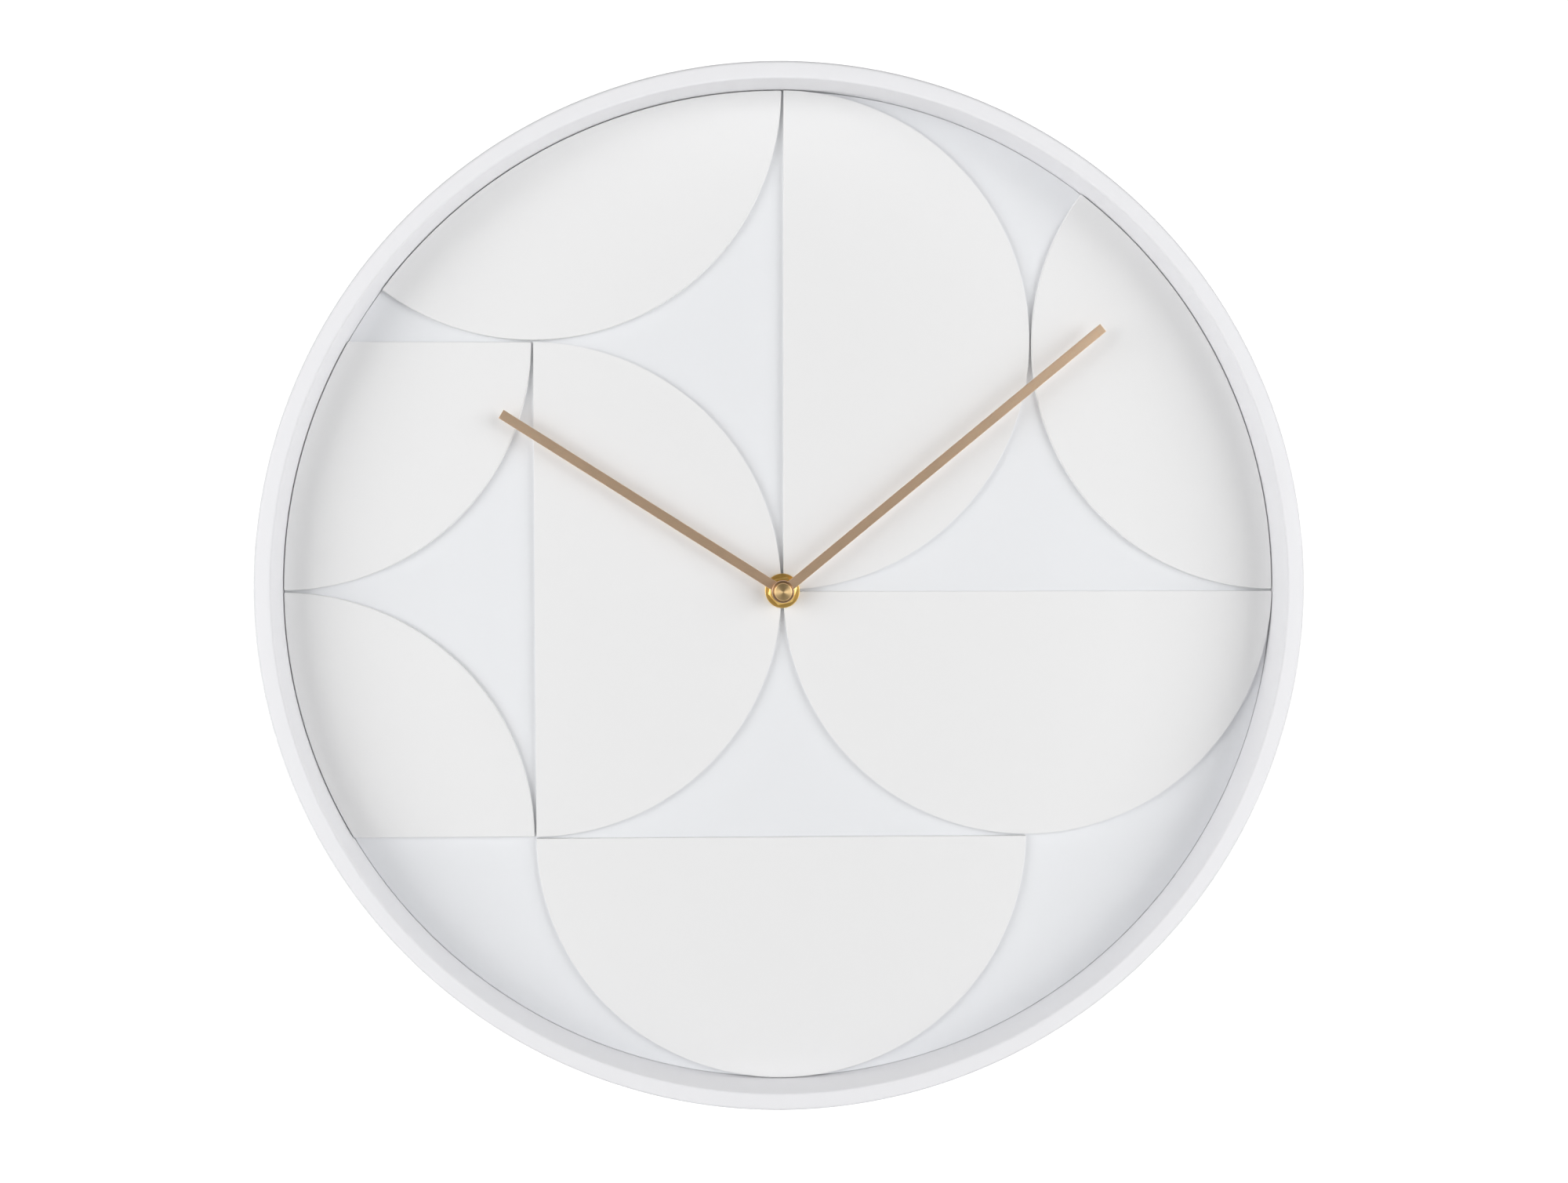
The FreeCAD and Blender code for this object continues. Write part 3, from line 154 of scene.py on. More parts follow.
class ClockCaseSettings(bpy.types.PropertyGroup):
    """Sizes and colours of the case ring."""

    colour: colour("Case colour", "Colour of the satin case moulding", (0.86, 0.865, 0.905))
    outer_round: length("Outer round", "Radius of the rim's outer front edge", 0.0014)
    inner_round: length("Inner round", "Radius of the rim's inner front edge", 0.0008)
    back_round: length("Back round", "Radius of the edges behind the rim", 0.0003)
    rim_wall: length("Rim wall", "Thickness of the rim's front wall", 0.0025)
    skirt_wall: length("Skirt wall", "Thickness of the outer wall", 0.0022)
    liner_wall: length("Liner wall", "Thickness of the wall round the dial", 0.002)
    ledge_width: length("Ledge width", "Width of the ledge that the dial rests on", 0.017)
    ledge_wall: length("Ledge wall", "Thickness of the ledge", 0.0022)
    boss_circle: length("Boss circle", "Radius of the circle of cover screw bosses", 0.186)
    boss_diameter: length("Boss diameter", "Diameter of a cover screw boss", 0.008)
    boss_hole: length("Boss hole", "Depth of the screw hole in a boss", 0.009)
    boss_count: count("Boss count", "Number of cover screw bosses", 6)
    segments: count("Segments", "Steps around the case", 288)


class ClockDialSettings(bpy.types.PropertyGroup):
    """Sizes and colours of the dial and its raised tiles."""

    base_colour: colour("Base colour", "Colour of the dial between the tiles", (0.835, 0.85, 0.862))
    tile_colour: colour("Tile colour", "Colour of the raised half discs", (0.86, 0.86, 0.855))
    tile_gap: length("Tile gap", "Gap left around each tile", 0.0004)
    tile_round: length("Tile round", "Radius of a tile's front edge", 0.0005)
    steps: count("Arc steps", "Steps along a tile's half circle", 180)


class ClockHandSettings(bpy.types.PropertyGroup):
    """Sizes and colours of the hands and of their fixing."""

    colour: colour("Hand colour", "Colour of the brushed hands", (0.90, 0.635, 0.425))
    brass_colour: colour("Brass colour", "Colour of the polished fixing", (0.97, 0.63, 0.20))
    cap_colour: colour("Cap colour", "Colour of the turned cap", (0.96, 0.68, 0.34))
    width: length("Hand width", "Width of a hand", 0.00375)
    hub_diameter: length("Hub diameter", "Diameter of a hand's hub", 0.0087)
    edge_round: length("Edge round", "Radius of a hand's sheared edge", 0.00012)
    hub_grooves: count("Hub grooves", "Number of fine rings turned on the minute hand's hub", 2)
    hub_relief: length("Hub relief", "Height of the rings on the minute hand's hub", 0.00015)
    hub_edge: length("Hub edge", "Margin left at the edge of the minute hand's hub", 0.0001)
    thread: length("Thread", "Outer diameter of the bush's thread", 0.008)
    washer_round: length("Washer round", "Radius of the washer's outer front edge", 0.0002)
    fine_round: length("Fine round", "Radius of the washer's other edges", 0.00005)
    cap_round: length("Cap round", "Radius of the cap's front edge", 0.00035)
    nut_flats: length("Nut flats", "Width of the nut across its flats", 0.010)
    nut_land: length("Nut land", "From the flats in to the nut's flat front", 0.0003)
    hour_length: length("Hour hand length", "From the arbor to the tip of the hour hand", 0.128)
    minute_length: length("Minute hand length", "From the arbor to the tip of the minute hand", 0.160)
    hour_turn: bearing("Hour hand turn", "Clockwise from twelve", -57.7)
    minute_turn: bearing("Minute hand turn", "Clockwise from twelve", 50.5)
    nut_turn: bearing("Nut turn", "Turn of the nut's first corner", 12)


class ClockBackSettings(bpy.types.PropertyGroup):
    """Sizes and colours of what is seen from behind."""

    cover_colour: colour("Cover colour", "Colour of the textured back cover", (0.78, 0.785, 0.79))
    movement_colour: colour("Movement colour", "Colour of the movement's case", (0.018, 0.018, 0.02))
    jacket_colour: colour("Jacket colour", "Main colour of the battery's jacket", (0.015, 0.07, 0.22))
    band_colour: colour("Band colour", "Colour of the band at the battery's plus end", (0.62, 0.30, 0.09))
    battery_band: length("Battery band", "Width of the band at the battery's plus end", 0.015)
    battery_nub: length("Battery nub", "Diameter of the nub at the plus end", 0.0055)
    nub_height: length("Nub height", "How far the nub stands out", 0.001)
    battery_fold: length("Battery fold", "Width of the jacket's folded edges", 0.0006)
    screw_head: length("Screw head", "Diameter of a cover screw's head", 0.006)
    screw_height: length("Screw height", "Height of a screw's head", 0.0016)
    wide_head: length("Wide head", "Diameter of a dial screw's head", 0.010)
    shank: length("Shank", "Diameter of a screw's shank", 0.0026)
    cover_reach: length("Cover screw reach", "From a cover screw's seat to its tip", 0.0085)
    dial_reach: length("Dial screw reach", "From a dial screw's seat to its tip", 0.003)
    hanger_reach: length("Hanger screw reach", "From a hanger screw's seat to its tip", 0.007)
    dial_screw_circle: length("Dial screw circle", "Radius of the circle of dial screws", 0.184)
    knob_ribs: count("Knob ribs", "Number of grip ribs on the setting knob", 24)
    knob_rib: length("Knob rib", "Radius of a grip rib", 0.00045)
    knob_lip: length("Knob lip", "Width of the knob's raised lip", 0.0009)
    knob_dish: length("Knob dish", "Depth of the dish in the knob's face", 0.0008)
    cover_round: length("Cover round", "Radius of the back cover's edges", 0.0003)
    outer_bead: length("Outer bead", "Radius of the bead near the cover's edge", 0.178)
    inner_bead: length("Inner bead", "Radius of the bead round the cover's middle", 0.062)
    bead_width: length("Bead width", "Width of a bead on the back cover", 0.0024)
    bead_height: length("Bead height", "Height of a bead on the back cover", 0.0007)
    hanger_round: length("Hanger round", "Radius of the stamped hanger's edges", 0.00012)
    movement_round: length("Movement round", "Radius of the movement case's edges", 0.00015)
    mark_span: length("Mark span", "Width of the polarity marks", 0.0036)
    mark_stroke: length("Mark stroke", "Width of the strokes of the moulded marks", 0.0008)
    mark_height: length("Mark height", "How far the moulded marks stand out", 0.0003)
    mark_across: length("Mark across", "From the middle of the movement to a polarity mark", 0.022)
    mark_up: bpy.props.FloatProperty(
        name="Mark up", description="Height of the polarity marks", default=-0.008,
        unit="LENGTH", precision=5)
    arrow_radius: length("Arrow radius", "Radius of the arrow round the knob", 0.0082)


class ClockStageSettings(bpy.types.PropertyGroup):
    """The camera, the lights and the floor."""

    camera_distance: length("Camera distance", "From the rim's front plane to the camera", 0.7)
    camera_lens: bpy.props.FloatProperty(
        name="Lens", description="Focal length on a 36 mm sensor", default=42.28, unit="CAMERA")
    camera_azimuth: bpy.props.FloatProperty(
        name="Azimuth", description="Turn of the camera round the clock", default=math.radians(-2.02),
        subtype="ANGLE")
    camera_elevation: bearing("Elevation", "Rise of the camera", 2.96)
    aim_across: bpy.props.FloatProperty(
        name="Aim across", description="Point looked at, across the rim's front plane", default=-0.00004,
        unit="LENGTH", precision=5)
    aim_up: bpy.props.FloatProperty(
        name="Aim up", description="Point looked at, up the rim's front plane", default=0.00069,
        unit="LENGTH", precision=5)
    floor_drop: length("Floor drop", "From the clock's lowest point down to the floor", 0.45)
    floor_size: length("Floor size", "Side of the square floor", 60.0)
    floor_colour: colour("Floor colour", "Colour of the plain floor", (0.82, 0.82, 0.82))
    side_power: power("Side lights", "Power of each side softbox", 12.3)
    top_power: power("Top light", "Power of the top softbox", 1.2)
    front_power: power("Front light", "Power of the front fill", 0.2)
    back_power: power("Back light", "Power of the light behind the clock", 20.0)
    backdrop: bpy.props.FloatProperty(
        name="Backdrop", description="Brightness of the white background", default=1.2, min=0.0)
    ambient: factor("Ambient", "Brightness of the light from all round", 0.06)


# ---------------------------------------------------------------------------------------------
# Shader building
# ---------------------------------------------------------------------------------------------

def add_step(tree, kind, inputs=None, **properties):
    """Add a node by its full kind, set its properties, and link or set its inputs by name or number."""
    made = tree.nodes.new(kind)
    for name, value in properties.items():
        setattr(made, name, value)
    for key, value in (inputs or {}).items():
        socket = made.inputs[key]
        if isinstance(value, bpy.types.NodeSocket):
            tree.links.new(value, socket)
        else:
            socket.default_value = value
    return made


def add_node(tree, kind, inputs=None, **properties):
    """Add a shader node."""
    return add_step(tree, "ShaderNode" + kind, inputs, **properties)


def maths(tree, operation, first, second=0.0, third=0.0):
    """The result of a Math node."""
    made = add_node(tree, "Math", {0: first, 1: second, 2: third}, operation=operation)
    return made.outputs[0]


def mixed(tree, share, first, second):
    """The colour between two colours."""
    made = add_node(tree, "Mix", {0: share, 6: first, 7: second}, data_type="RGBA")
    return made.outputs[2]


def ramped(tree, value, low, high):
    """A value stretched so that low gives 0 and high gives 1, smoothly."""
    made = add_node(
        tree, "MapRange", {0: value, 1: low, 2: high, 3: 0.0, 4: 1.0}, interpolation_type="SMOOTHSTEP")
    return made.outputs[0]


def add_inputs(tree, inputs):
    """Give a node tree its named inputs."""
    for label, kind, default in inputs:
        socket = tree.interface.new_socket(label, in_out="INPUT", socket_type="NodeSocket" + kind)
        if default is not None:
            socket.default_value = default


def new_group(name, inputs, outputs):
    """Start a shader node group with named sockets, and return its tree, inputs and output node."""
    tree = bpy.data.node_groups.new(name, "ShaderNodeTree")
    add_inputs(tree, inputs)
    for label, kind in outputs:
        tree.interface.new_socket(label, in_out="OUTPUT", socket_type="NodeSocket" + kind)
    start = tree.nodes.new("NodeGroupInput")
    end = tree.nodes.new("NodeGroupOutput")
    return tree, start.outputs, end


GRAIN_INPUTS = [
    ("Vector", "Vector", None),
    ("Colour", "Color", (0.8, 0.8, 0.8, 1.0)),
    ("Second Colour", "Color", (0.7, 0.7, 0.7, 1.0)),
    ("Size", "Float", 0.001),
    ("Roughness", "Float", 0.5),
    ("Spread", "Float", 0.1),
]
GRAIN_OUTPUTS = [("Colour", "Color"), ("Roughness", "Float"), ("Height", "Float")]


def finish_grain(tree, given, end, fine, broad):
    """Turn a fine and a broad pattern into the colour, roughness and height of a surface."""
    blend = mixed(tree, broad, given["Colour"], given["Second Colour"])
    swing = maths(tree, "MULTIPLY_ADD", fine, given["Spread"], given["Roughness"])
    level = maths(tree, "MULTIPLY_ADD", given["Spread"], -0.5, swing)
    tree.links.new(blend, end.inputs["Colour"])
    tree.links.new(level, end.inputs["Roughness"])
    tree.links.new(fine, end.inputs["Height"])


def make_moulded_grain():
    """Fine spark-eroded texture of a plastic moulding, with faint broad clouds of colour."""
    tree, given, end = new_group("Moulded Grain", GRAIN_INPUTS, GRAIN_OUTPUTS)
    scale = maths(tree, "DIVIDE", 1.0, given["Size"])
    fine = add_node(tree, "TexNoise", {"Vector": given["Vector"], "Scale": scale, "Detail": 2.0})
    clouds = add_node(tree, "TexNoise", {"Vector": given["Vector"], "Scale": 14.0, "Detail": 3.0})
    broad = ramped(tree, clouds.outputs["Fac"], 0.3, 0.7)
    finish_grain(tree, given, end, fine.outputs["Fac"], broad)


def make_brushed_grain():
    """Long fine scratches along X, as a belt leaves them on sheet metal."""
    tree, given, end = new_group("Brushed Grain", GRAIN_INPUTS, GRAIN_OUTPUTS)
    stretched = add_node(tree, "Mapping", {"Vector": given["Vector"], "Scale": (0.03, 1.0, 1.0)})
    scale = maths(tree, "DIVIDE", 1.0, given["Size"])
    streaks = add_node(
        tree, "TexNoise", {"Vector": stretched.outputs[0], "Scale": scale, "Detail": 4.0, "Roughness": 0.65})
    bands = add_node(tree, "TexNoise", {"Vector": given["Vector"], "Scale": 60.0, "Detail": 2.0})
    both = maths(tree, "MULTIPLY_ADD", bands.outputs["Fac"], 0.5, streaks.outputs["Fac"])
    broad = ramped(tree, both, 0.5, 1.0)
    finish_grain(tree, given, end, streaks.outputs["Fac"], broad)


def make_turned_grain():
    """Fine rings round the Y axis, as a lathe tool leaves them."""
    tree, given, end = new_group("Turned Grain", GRAIN_INPUTS, GRAIN_OUTPUTS)
    flat = add_node(tree, "VectorMath", {0: given["Vector"], 1: (1.0, 0.0, 1.0)}, operation="MULTIPLY")
    radius = add_node(tree, "VectorMath", {0: flat.outputs[0]}, operation="LENGTH")
    scale = maths(tree, "DIVIDE", 1.0, given["Size"])
    rings = add_node(
        tree, "TexNoise", {"W": radius.outputs["Value"], "Scale": scale, "Detail": 3.0},
        noise_dimensions="1D")
    broad = ramped(tree, rings.outputs["Fac"], 0.3, 0.7)
    finish_grain(tree, given, end, rings.outputs["Fac"], broad)


def make_settled_dust():
    """A faint film of dust on what faces up."""
    inputs = [
        ("Vector", "Vector", None),
        ("Colour", "Color", (0.8, 0.8, 0.8, 1.0)),
        ("Dust Colour", "Color", (0.55, 0.53, 0.5, 1.0)),
        ("Roughness", "Float", 0.5),
        ("Amount", "Float", 0.2),
    ]
    tree, given, end = new_group("Settled Dust", inputs, [("Colour", "Color"), ("Roughness", "Float")])
    facing = add_node(tree, "NewGeometry")
    split = add_node(tree, "SeparateXYZ", {0: facing.outputs["Normal"]})
    upward = ramped(tree, split.outputs["Z"], 0.5, 1.0)
    specks = add_node(tree, "TexNoise", {"Vector": given["Vector"], "Scale": 900.0, "Detail": 5.0})
    patchy = ramped(tree, specks.outputs["Fac"], 0.35, 0.75)
    film = maths(tree, "MULTIPLY", upward, patchy)
    mask = maths(tree, "MULTIPLY", film, given["Amount"])
    tree.links.new(mixed(tree, mask, given["Colour"], given["Dust Colour"]), end.inputs["Colour"])
    rough = maths(tree, "MULTIPLY_ADD", mask, 0.5, given["Roughness"])
    tree.links.new(rough, end.inputs["Roughness"])


def make_edge_wear_and_highlight():
    """Brighter colour on the outer edges: partly bare material worn by handling, partly a painted highlight
    where the bevels catch the light.
    """
    inputs = [
        ("Vector", "Vector", None),
        ("Colour", "Color", (0.8, 0.8, 0.8, 1.0)),
        ("Worn Colour", "Color", (0.9, 0.9, 0.9, 1.0)),
        ("Roughness", "Float", 0.5),
        ("Amount", "Float", 0.5),
    ]
    tree, given, end = new_group("Edge Wear", inputs, [("Colour", "Color"), ("Roughness", "Float")])
    shape = add_node(tree, "NewGeometry")
    # Sharp outer edges get the brighter colour: partly wear, partly a painted highlight where bevels catch
    # the light.
    edge = ramped(tree, shape.outputs["Pointiness"], 0.52, 0.62)
    edge_breakup = add_node(tree, "TexNoise", {"Vector": given["Vector"], "Scale": 1500.0, "Detail": 4.0})
    broken = ramped(tree, edge_breakup.outputs["Fac"], 0.3, 0.6)
    worn_and_highlit_edges = maths(tree, "MULTIPLY", edge, broken)
    mask = maths(tree, "MULTIPLY", worn_and_highlit_edges, given["Amount"])
    tree.links.new(mixed(tree, mask, given["Colour"], given["Worn Colour"]), end.inputs["Colour"])
    rough = maths(tree, "MULTIPLY_ADD", mask, -0.15, given["Roughness"])
    tree.links.new(rough, end.inputs["Roughness"])


def make_effects():
    """Build every shader node group once."""
    make_moulded_grain()
    make_brushed_grain()
    make_turned_grain()
    make_settled_dust()
    make_edge_wear_and_highlight()


def opaque(rgb):
    """A colour with full alpha."""
    return (rgb[0], rgb[1], rgb[2], 1.0)


def shaded(rgb, by):
    """A colour made darker or lighter by a factor."""
    return tuple(min(1.0, part * by) for part in rgb)


def place_effect(tree, name, inputs):
    """Put a shader node group in a material and set or link its inputs."""
    return add_node(tree, "Group", inputs, node_tree=bpy.data.node_groups[name]).outputs


def make_finish(name, grain, rgb, second, size, roughness, spread, bump,
                turn=0.0, dust=0.0, wear=0.0, worn=(0.9, 0.9, 0.9), tool_marks=False, **constants):
    """A material: a grain, then dust and edge wear with a painted edge highlight, into one Principled shader
    with constants of its own.
    """
    material = bpy.data.materials.new(name)
    material.use_nodes = True
    tree = material.node_tree
    shader = tree.nodes["Principled BSDF"]
    place = add_node(tree, "TexCoord").outputs["Object"]
    moved = add_node(
        tree, "Mapping", {"Vector": place, "Rotation": (0.0, turn, 0.0)}, vector_type="TEXTURE").outputs[0]
    surface = place_effect(tree, grain, {
        "Vector": moved, "Colour": opaque(rgb), "Second Colour": opaque(second),
        "Size": size, "Roughness": roughness, "Spread": spread,
    })
    shade, rough = surface["Colour"], surface["Roughness"]
    if wear:
        worn_and_highlit_edges = place_effect(tree, "Edge Wear", {
            "Vector": moved, "Colour": shade, "Worn Colour": opaque(worn), "Roughness": rough, "Amount": wear,
        })
        shade, rough = worn_and_highlit_edges["Colour"], worn_and_highlit_edges["Roughness"]
    if dust:
        dusty = place_effect(tree, "Settled Dust", {
            "Vector": place, "Colour": shade, "Roughness": rough, "Amount": dust,
        })
        shade, rough = dusty["Colour"], dusty["Roughness"]
    relief = add_node(tree, "Bump", {"Strength": 1.0, "Distance": bump, "Height": surface["Height"]})
    tree.links.new(shade, shader.inputs["Base Color"])
    tree.links.new(rough, shader.inputs["Roughness"])
    tree.links.new(relief.outputs[0], shader.inputs["Normal"])
    if tool_marks:
        around = add_node(tree, "Tangent", direction_type="UV_MAP", uv_map=TURNED_MAP)
        tree.links.new(around.outputs[0], shader.inputs["Tangent"])
    for key, value in constants.items():
        shader.inputs[key.replace("_", " ").title()].default_value = value
    return material


# ---------------------------------------------------------------------------------------------
# Mesh building
# ---------------------------------------------------------------------------------------------

def lathe(bm, profile, segments):
    """Turn a closed profile of (radius, depth) points round the Y axis into bm."""
    rings = []
    for radius, depth in profile:
        if radius == 0.0:
            rings.append([bm.verts.new((0.0, depth, 0.0))])
            continue
        ring = []
        for step in range(segments):
            angle = math.tau * step / segments
            ring.append(bm.verts.new((radius * math.cos(angle), depth, radius * math.sin(angle))))
        rings.append(ring)
    for first, second in zip(rings, rings[1:] + rings[:1]):
        if len(first) == 1 and len(second) == 1:
            continue
        for step in range(segments):
            after = (step + 1) % segments
            corners = [first[step % len(first)], first[after % len(first)],
                       second[after % len(second)], second[step % len(second)]]
            bm.faces.new(list(dict.fromkeys(corners)))


def rounded(corners, steps=5):
    """Replace each (x, y, radius) corner of a closed outline by an arc of that radius."""
    outline = []
    for index, (x, y, radius) in enumerate(corners):
        here = Vector((x, y))
        before = Vector(corners[index - 1][:2]) - here
        after = Vector(corners[(index + 1) % len(corners)][:2]) - here
        if radius == 0.0:
            outline.append((x, y))
            continue
        half = before.angle(after) / 2
        setback = radius / math.tan(half)
        first = before.normalized() * setback
        last = after.normalized() * setback
        centre = (before.normalized() + after.normalized()).normalized() * (radius / math.sin(half))
        start = first - centre
        sweep = start.angle_signed(last - centre)
        for step in range(steps + 1):
            turned = start.copy()
            turned.rotate(Matrix.Rotation(-sweep * step / steps, 2))
            point = here + centre + turned
            outline.append((point.x, point.y))
    return outline


def circle_crossing(inner, outer, centre, radius):
    """Where the line from inner to outer crosses a circle that only one of them lies in."""
    way = outer - inner
    start = inner - centre
    a, b, c = way.dot(way), 2 * start.dot(way), start.dot(start) - radius * radius
    root = math.sqrt(max(0.0, b * b - 4 * a * c))
    for share in ((-b - root) / (2 * a), (-b + root) / (2 * a)):
        if -1e-9 <= share <= 1 + 1e-9:
            return inner + way * share
    raise ValueError("the line doesn't cross the circle")


def trim_by_circle(outline, centre, radius, keep_inside):
    """Cut a closed outline by a circle, and follow the circle where the outline was cut."""
    kept = [((point - centre).length <= radius) == keep_inside for point in outline]
    if all(kept):
        return outline
    first = next(i for i in range(len(outline)) if kept[i] and not kept[i - 1])
    order = [(first + i) % len(outline) for i in range(len(outline))]
    trimmed = []
    leaving = None
    for place, index in enumerate(order):
        here = outline[index]
        following = order[(place + 1) % len(order)]
        if kept[index]:
            trimmed.append(here)
            if not kept[following]:
                leaving = circle_crossing(here, outline[following], centre, radius)
                trimmed.append(leaving)
        elif kept[following]:
            entering = circle_crossing(here, outline[following], centre, radius)
            start = leaving - centre
            sweep = start.angle_signed(entering - centre)
            steps = max(2, round(abs(sweep) * 60))
            for step in range(1, steps):
                turned = start.copy()
                turned.rotate(Matrix.Rotation(-sweep * step / steps, 2))
                trimmed.append(centre + turned)
            trimmed.append(entering)
    return trimmed


def extrude_outline(bm, outline, front, back):
    """A solid between two depths with the given (x, z) outline."""
    rings = [[bm.verts.new((x, depth, z)) for x, z in outline] for depth in (front, back)]
    bm.faces.new(rings[0])
    bm.faces.new(list(reversed(rings[1])))
    total = len(outline)
    for step in range(total):
        after = (step + 1) % total
        bm.faces.new([rings[0][step], rings[1][step], rings[1][after], rings[0][after]])


def finish_mesh(name, bm, material, sharp=SHARP_DEGREES):
    """Close and shade a bmesh, and return it as an object of its own at the origin."""
    bmesh.ops.remove_doubles(bm, verts=bm.verts, dist=MERGE_DISTANCE)
    bmesh.ops.recalc_face_normals(bm, faces=bm.faces)
    mesh = bpy.data.meshes.new(name)
    bm.to_mesh(mesh)
    bm.free()
    mesh.shade_smooth()
    mesh.set_sharp_from_angle(angle=math.radians(sharp))
    made = bpy.data.objects.new(name, mesh)
    bpy.context.scene.collection.objects.link(made)
    if material:
        mesh.materials.append(material)
    return made


def settle(made):
    """Apply an object's modifiers, so that its mesh is plain."""
    graph = bpy.context.evaluated_depsgraph_get()
    plain = bpy.data.meshes.new_from_object(made.evaluated_get(graph), depsgraph=graph)
    plain.name = made.name
    made.modifiers.clear()
    made.data = plain
    return made


def soften(made, width, steps, angle=SHARP_DEGREES):
    """Round an object's edges and give its flat faces flat shading."""
    bevel = made.modifiers.new("round", "BEVEL")
    bevel.width = width
    bevel.segments = steps
    bevel.limit_method = "ANGLE"
    bevel.angle_limit = math.radians(angle)
    bevel.use_clamp_overlap = True
    weight = made.modifiers.new("flats", "WEIGHTED_NORMAL")
    weight.keep_sharp = True
    for edge in made.data.edges:
        edge.use_edge_sharp = False
    return settle(made)


def move_mesh(made, matrix):
    """Place an object's mesh, leaving the object itself at the origin."""
    made.data.transform(matrix)
    return made


def stand_for(made, body, slot, *nodes):
    """Let a piece ride on a body, in place of CAD nodes; its slot argument is not used."""
    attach(made, body)
    if nodes:
        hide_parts(*nodes)
    return made


def softened_copy(name, node, material, width, steps=2):
    """A copy of a node's mesh, merged and cleaned, with its sharp edges rounded."""
    bm = bmesh.new()
    bm.from_mesh(frame["nodes"][node].data)
    bmesh.ops.remove_doubles(bm, verts=bm.verts, dist=COPY_MERGE_DISTANCE)
    bmesh.ops.dissolve_limit(bm, angle_limit=math.radians(FLAT_DEGREES), verts=bm.verts, edges=bm.edges)
    made = finish_mesh(name, bm, finish_named(material))
    return soften(made, width, steps, angle=50.0)


def join_meshes(name, parts):
    """One object from several, with their materials kept."""
    bm = bmesh.new()
    materials = []
    for part in parts:
        first = len(bm.faces)
        bm.from_mesh(part.data)
        bm.faces.ensure_lookup_table()
        for face in bm.faces[first:]:
            own = part.data.materials[face.material_index]
            if own not in materials:
                materials.append(own)
            face.material_index = materials.index(own)
        bpy.data.objects.remove(part)
    made = finish_mesh(name, bm, None)
    for material in materials:
        made.data.materials.append(material)
    return made


# ---------------------------------------------------------------------------------------------
# Geometry Nodes for what repeats
# ---------------------------------------------------------------------------------------------

def start_tree(name, inputs):
    """Start a Geometry Nodes tree with a geometry going in and out, and named inputs for its sizes."""
    tree = bpy.data.node_groups.new(name, "GeometryNodeTree")
    tree.interface.new_socket("Geometry", in_out="INPUT", socket_type="NodeSocketGeometry")
    tree.interface.new_socket("Geometry", in_out="OUTPUT", socket_type="NodeSocketGeometry")
    add_inputs(tree, inputs)
    return tree


def end_tree(tree, geometry, material):
    """Realize the copies, set their material and close the tree."""
    real = add_step(tree, "GeometryNodeRealizeInstances", {0: geometry})
    coated = add_step(tree, "GeometryNodeSetMaterial", {"Geometry": real.outputs[0], "Material": material})
    end = tree.nodes.new("NodeGroupOutput")
    tree.links.new(coated.outputs[0], end.inputs[0])


def loose_turn(tree, given):
    """A fixed random turn about Y for each copy, up to the given angle either way."""
    spin = add_step(
        tree, "FunctionNodeRandomValue",
        {2: maths(tree, "MULTIPLY", given["Loose Turn"], -1.0), 3: given["Loose Turn"], "Seed": 7},
        data_type="FLOAT")
    turn = add_step(tree, "ShaderNodeCombineXYZ", {"Y": spin.outputs[1]})
    return turn.outputs[0]


def make_ring_of_copies():
    """Copies of the geometry on a circle in the XZ plane, each turned to face outwards."""
    tree = start_tree("Ring of Copies", [
        ("Count", "Int", 6), ("Radius", "Float", 0.1), ("First Angle", "Float", 0.0),
        ("Loose Turn", "Float", 0.0), ("Material", "Material", None),
    ])
    given = tree.nodes.new("NodeGroupInput").outputs
    circle = add_step(tree, "GeometryNodeMeshCircle", {"Vertices": given["Count"], "Radius": given["Radius"]})
    upright = add_step(
        tree, "GeometryNodeTransform", {"Geometry": circle.outputs[0], "Rotation": (math.pi / 2, 0.0, 0.0)})
    index = add_step(tree, "GeometryNodeInputIndex")
    share = maths(tree, "DIVIDE", index.outputs[0], given["Count"])
    angle = maths(tree, "MULTIPLY", share, -math.tau)
    outward = add_step(tree, "ShaderNodeCombineXYZ", {"Y": angle})
    turned = add_step(tree, "ShaderNodeVectorMath", {0: outward.outputs[0], 1: loose_turn(tree, given)},
                      operation="ADD")
    copies = add_step(tree, "GeometryNodeInstanceOnPoints", {
        "Points": upright.outputs[0], "Instance": given["Geometry"], "Rotation": turned.outputs[0],
    })
    first = add_node(tree, "CombineXYZ", {"Y": maths(tree, "MULTIPLY", given["First Angle"], -1.0)})
    whole = add_step(
        tree, "GeometryNodeTransform", {"Geometry": copies.outputs[0], "Rotation": first.outputs[0]})
    end_tree(tree, whole.outputs[0], given["Material"])
    return tree


def make_grid_of_copies():
    """Copies of the geometry at the points of a grid in the XZ plane."""
    tree = start_tree("Grid of Copies", [
        ("Across", "Float", 0.01), ("Up", "Float", 0.01), ("Columns", "Int", 2), ("Rows", "Int", 2),
        ("Loose Turn", "Float", 0.0), ("Material", "Material", None),
    ])
    given = tree.nodes.new("NodeGroupInput").outputs
    grid = add_step(tree, "GeometryNodeMeshGrid", {
        "Size X": given["Across"], "Size Y": given["Up"],
        "Vertices X": given["Columns"], "Vertices Y": given["Rows"],
    })
    upright = add_step(
        tree, "GeometryNodeTransform", {"Geometry": grid.outputs[0], "Rotation": (math.pi / 2, 0.0, 0.0)})
    copies = add_step(tree, "GeometryNodeInstanceOnPoints", {
        "Points": upright.outputs[0], "Instance": given["Geometry"], "Rotation": loose_turn(tree, given),
    })
    end_tree(tree, copies.outputs[0], given["Material"])
    return tree


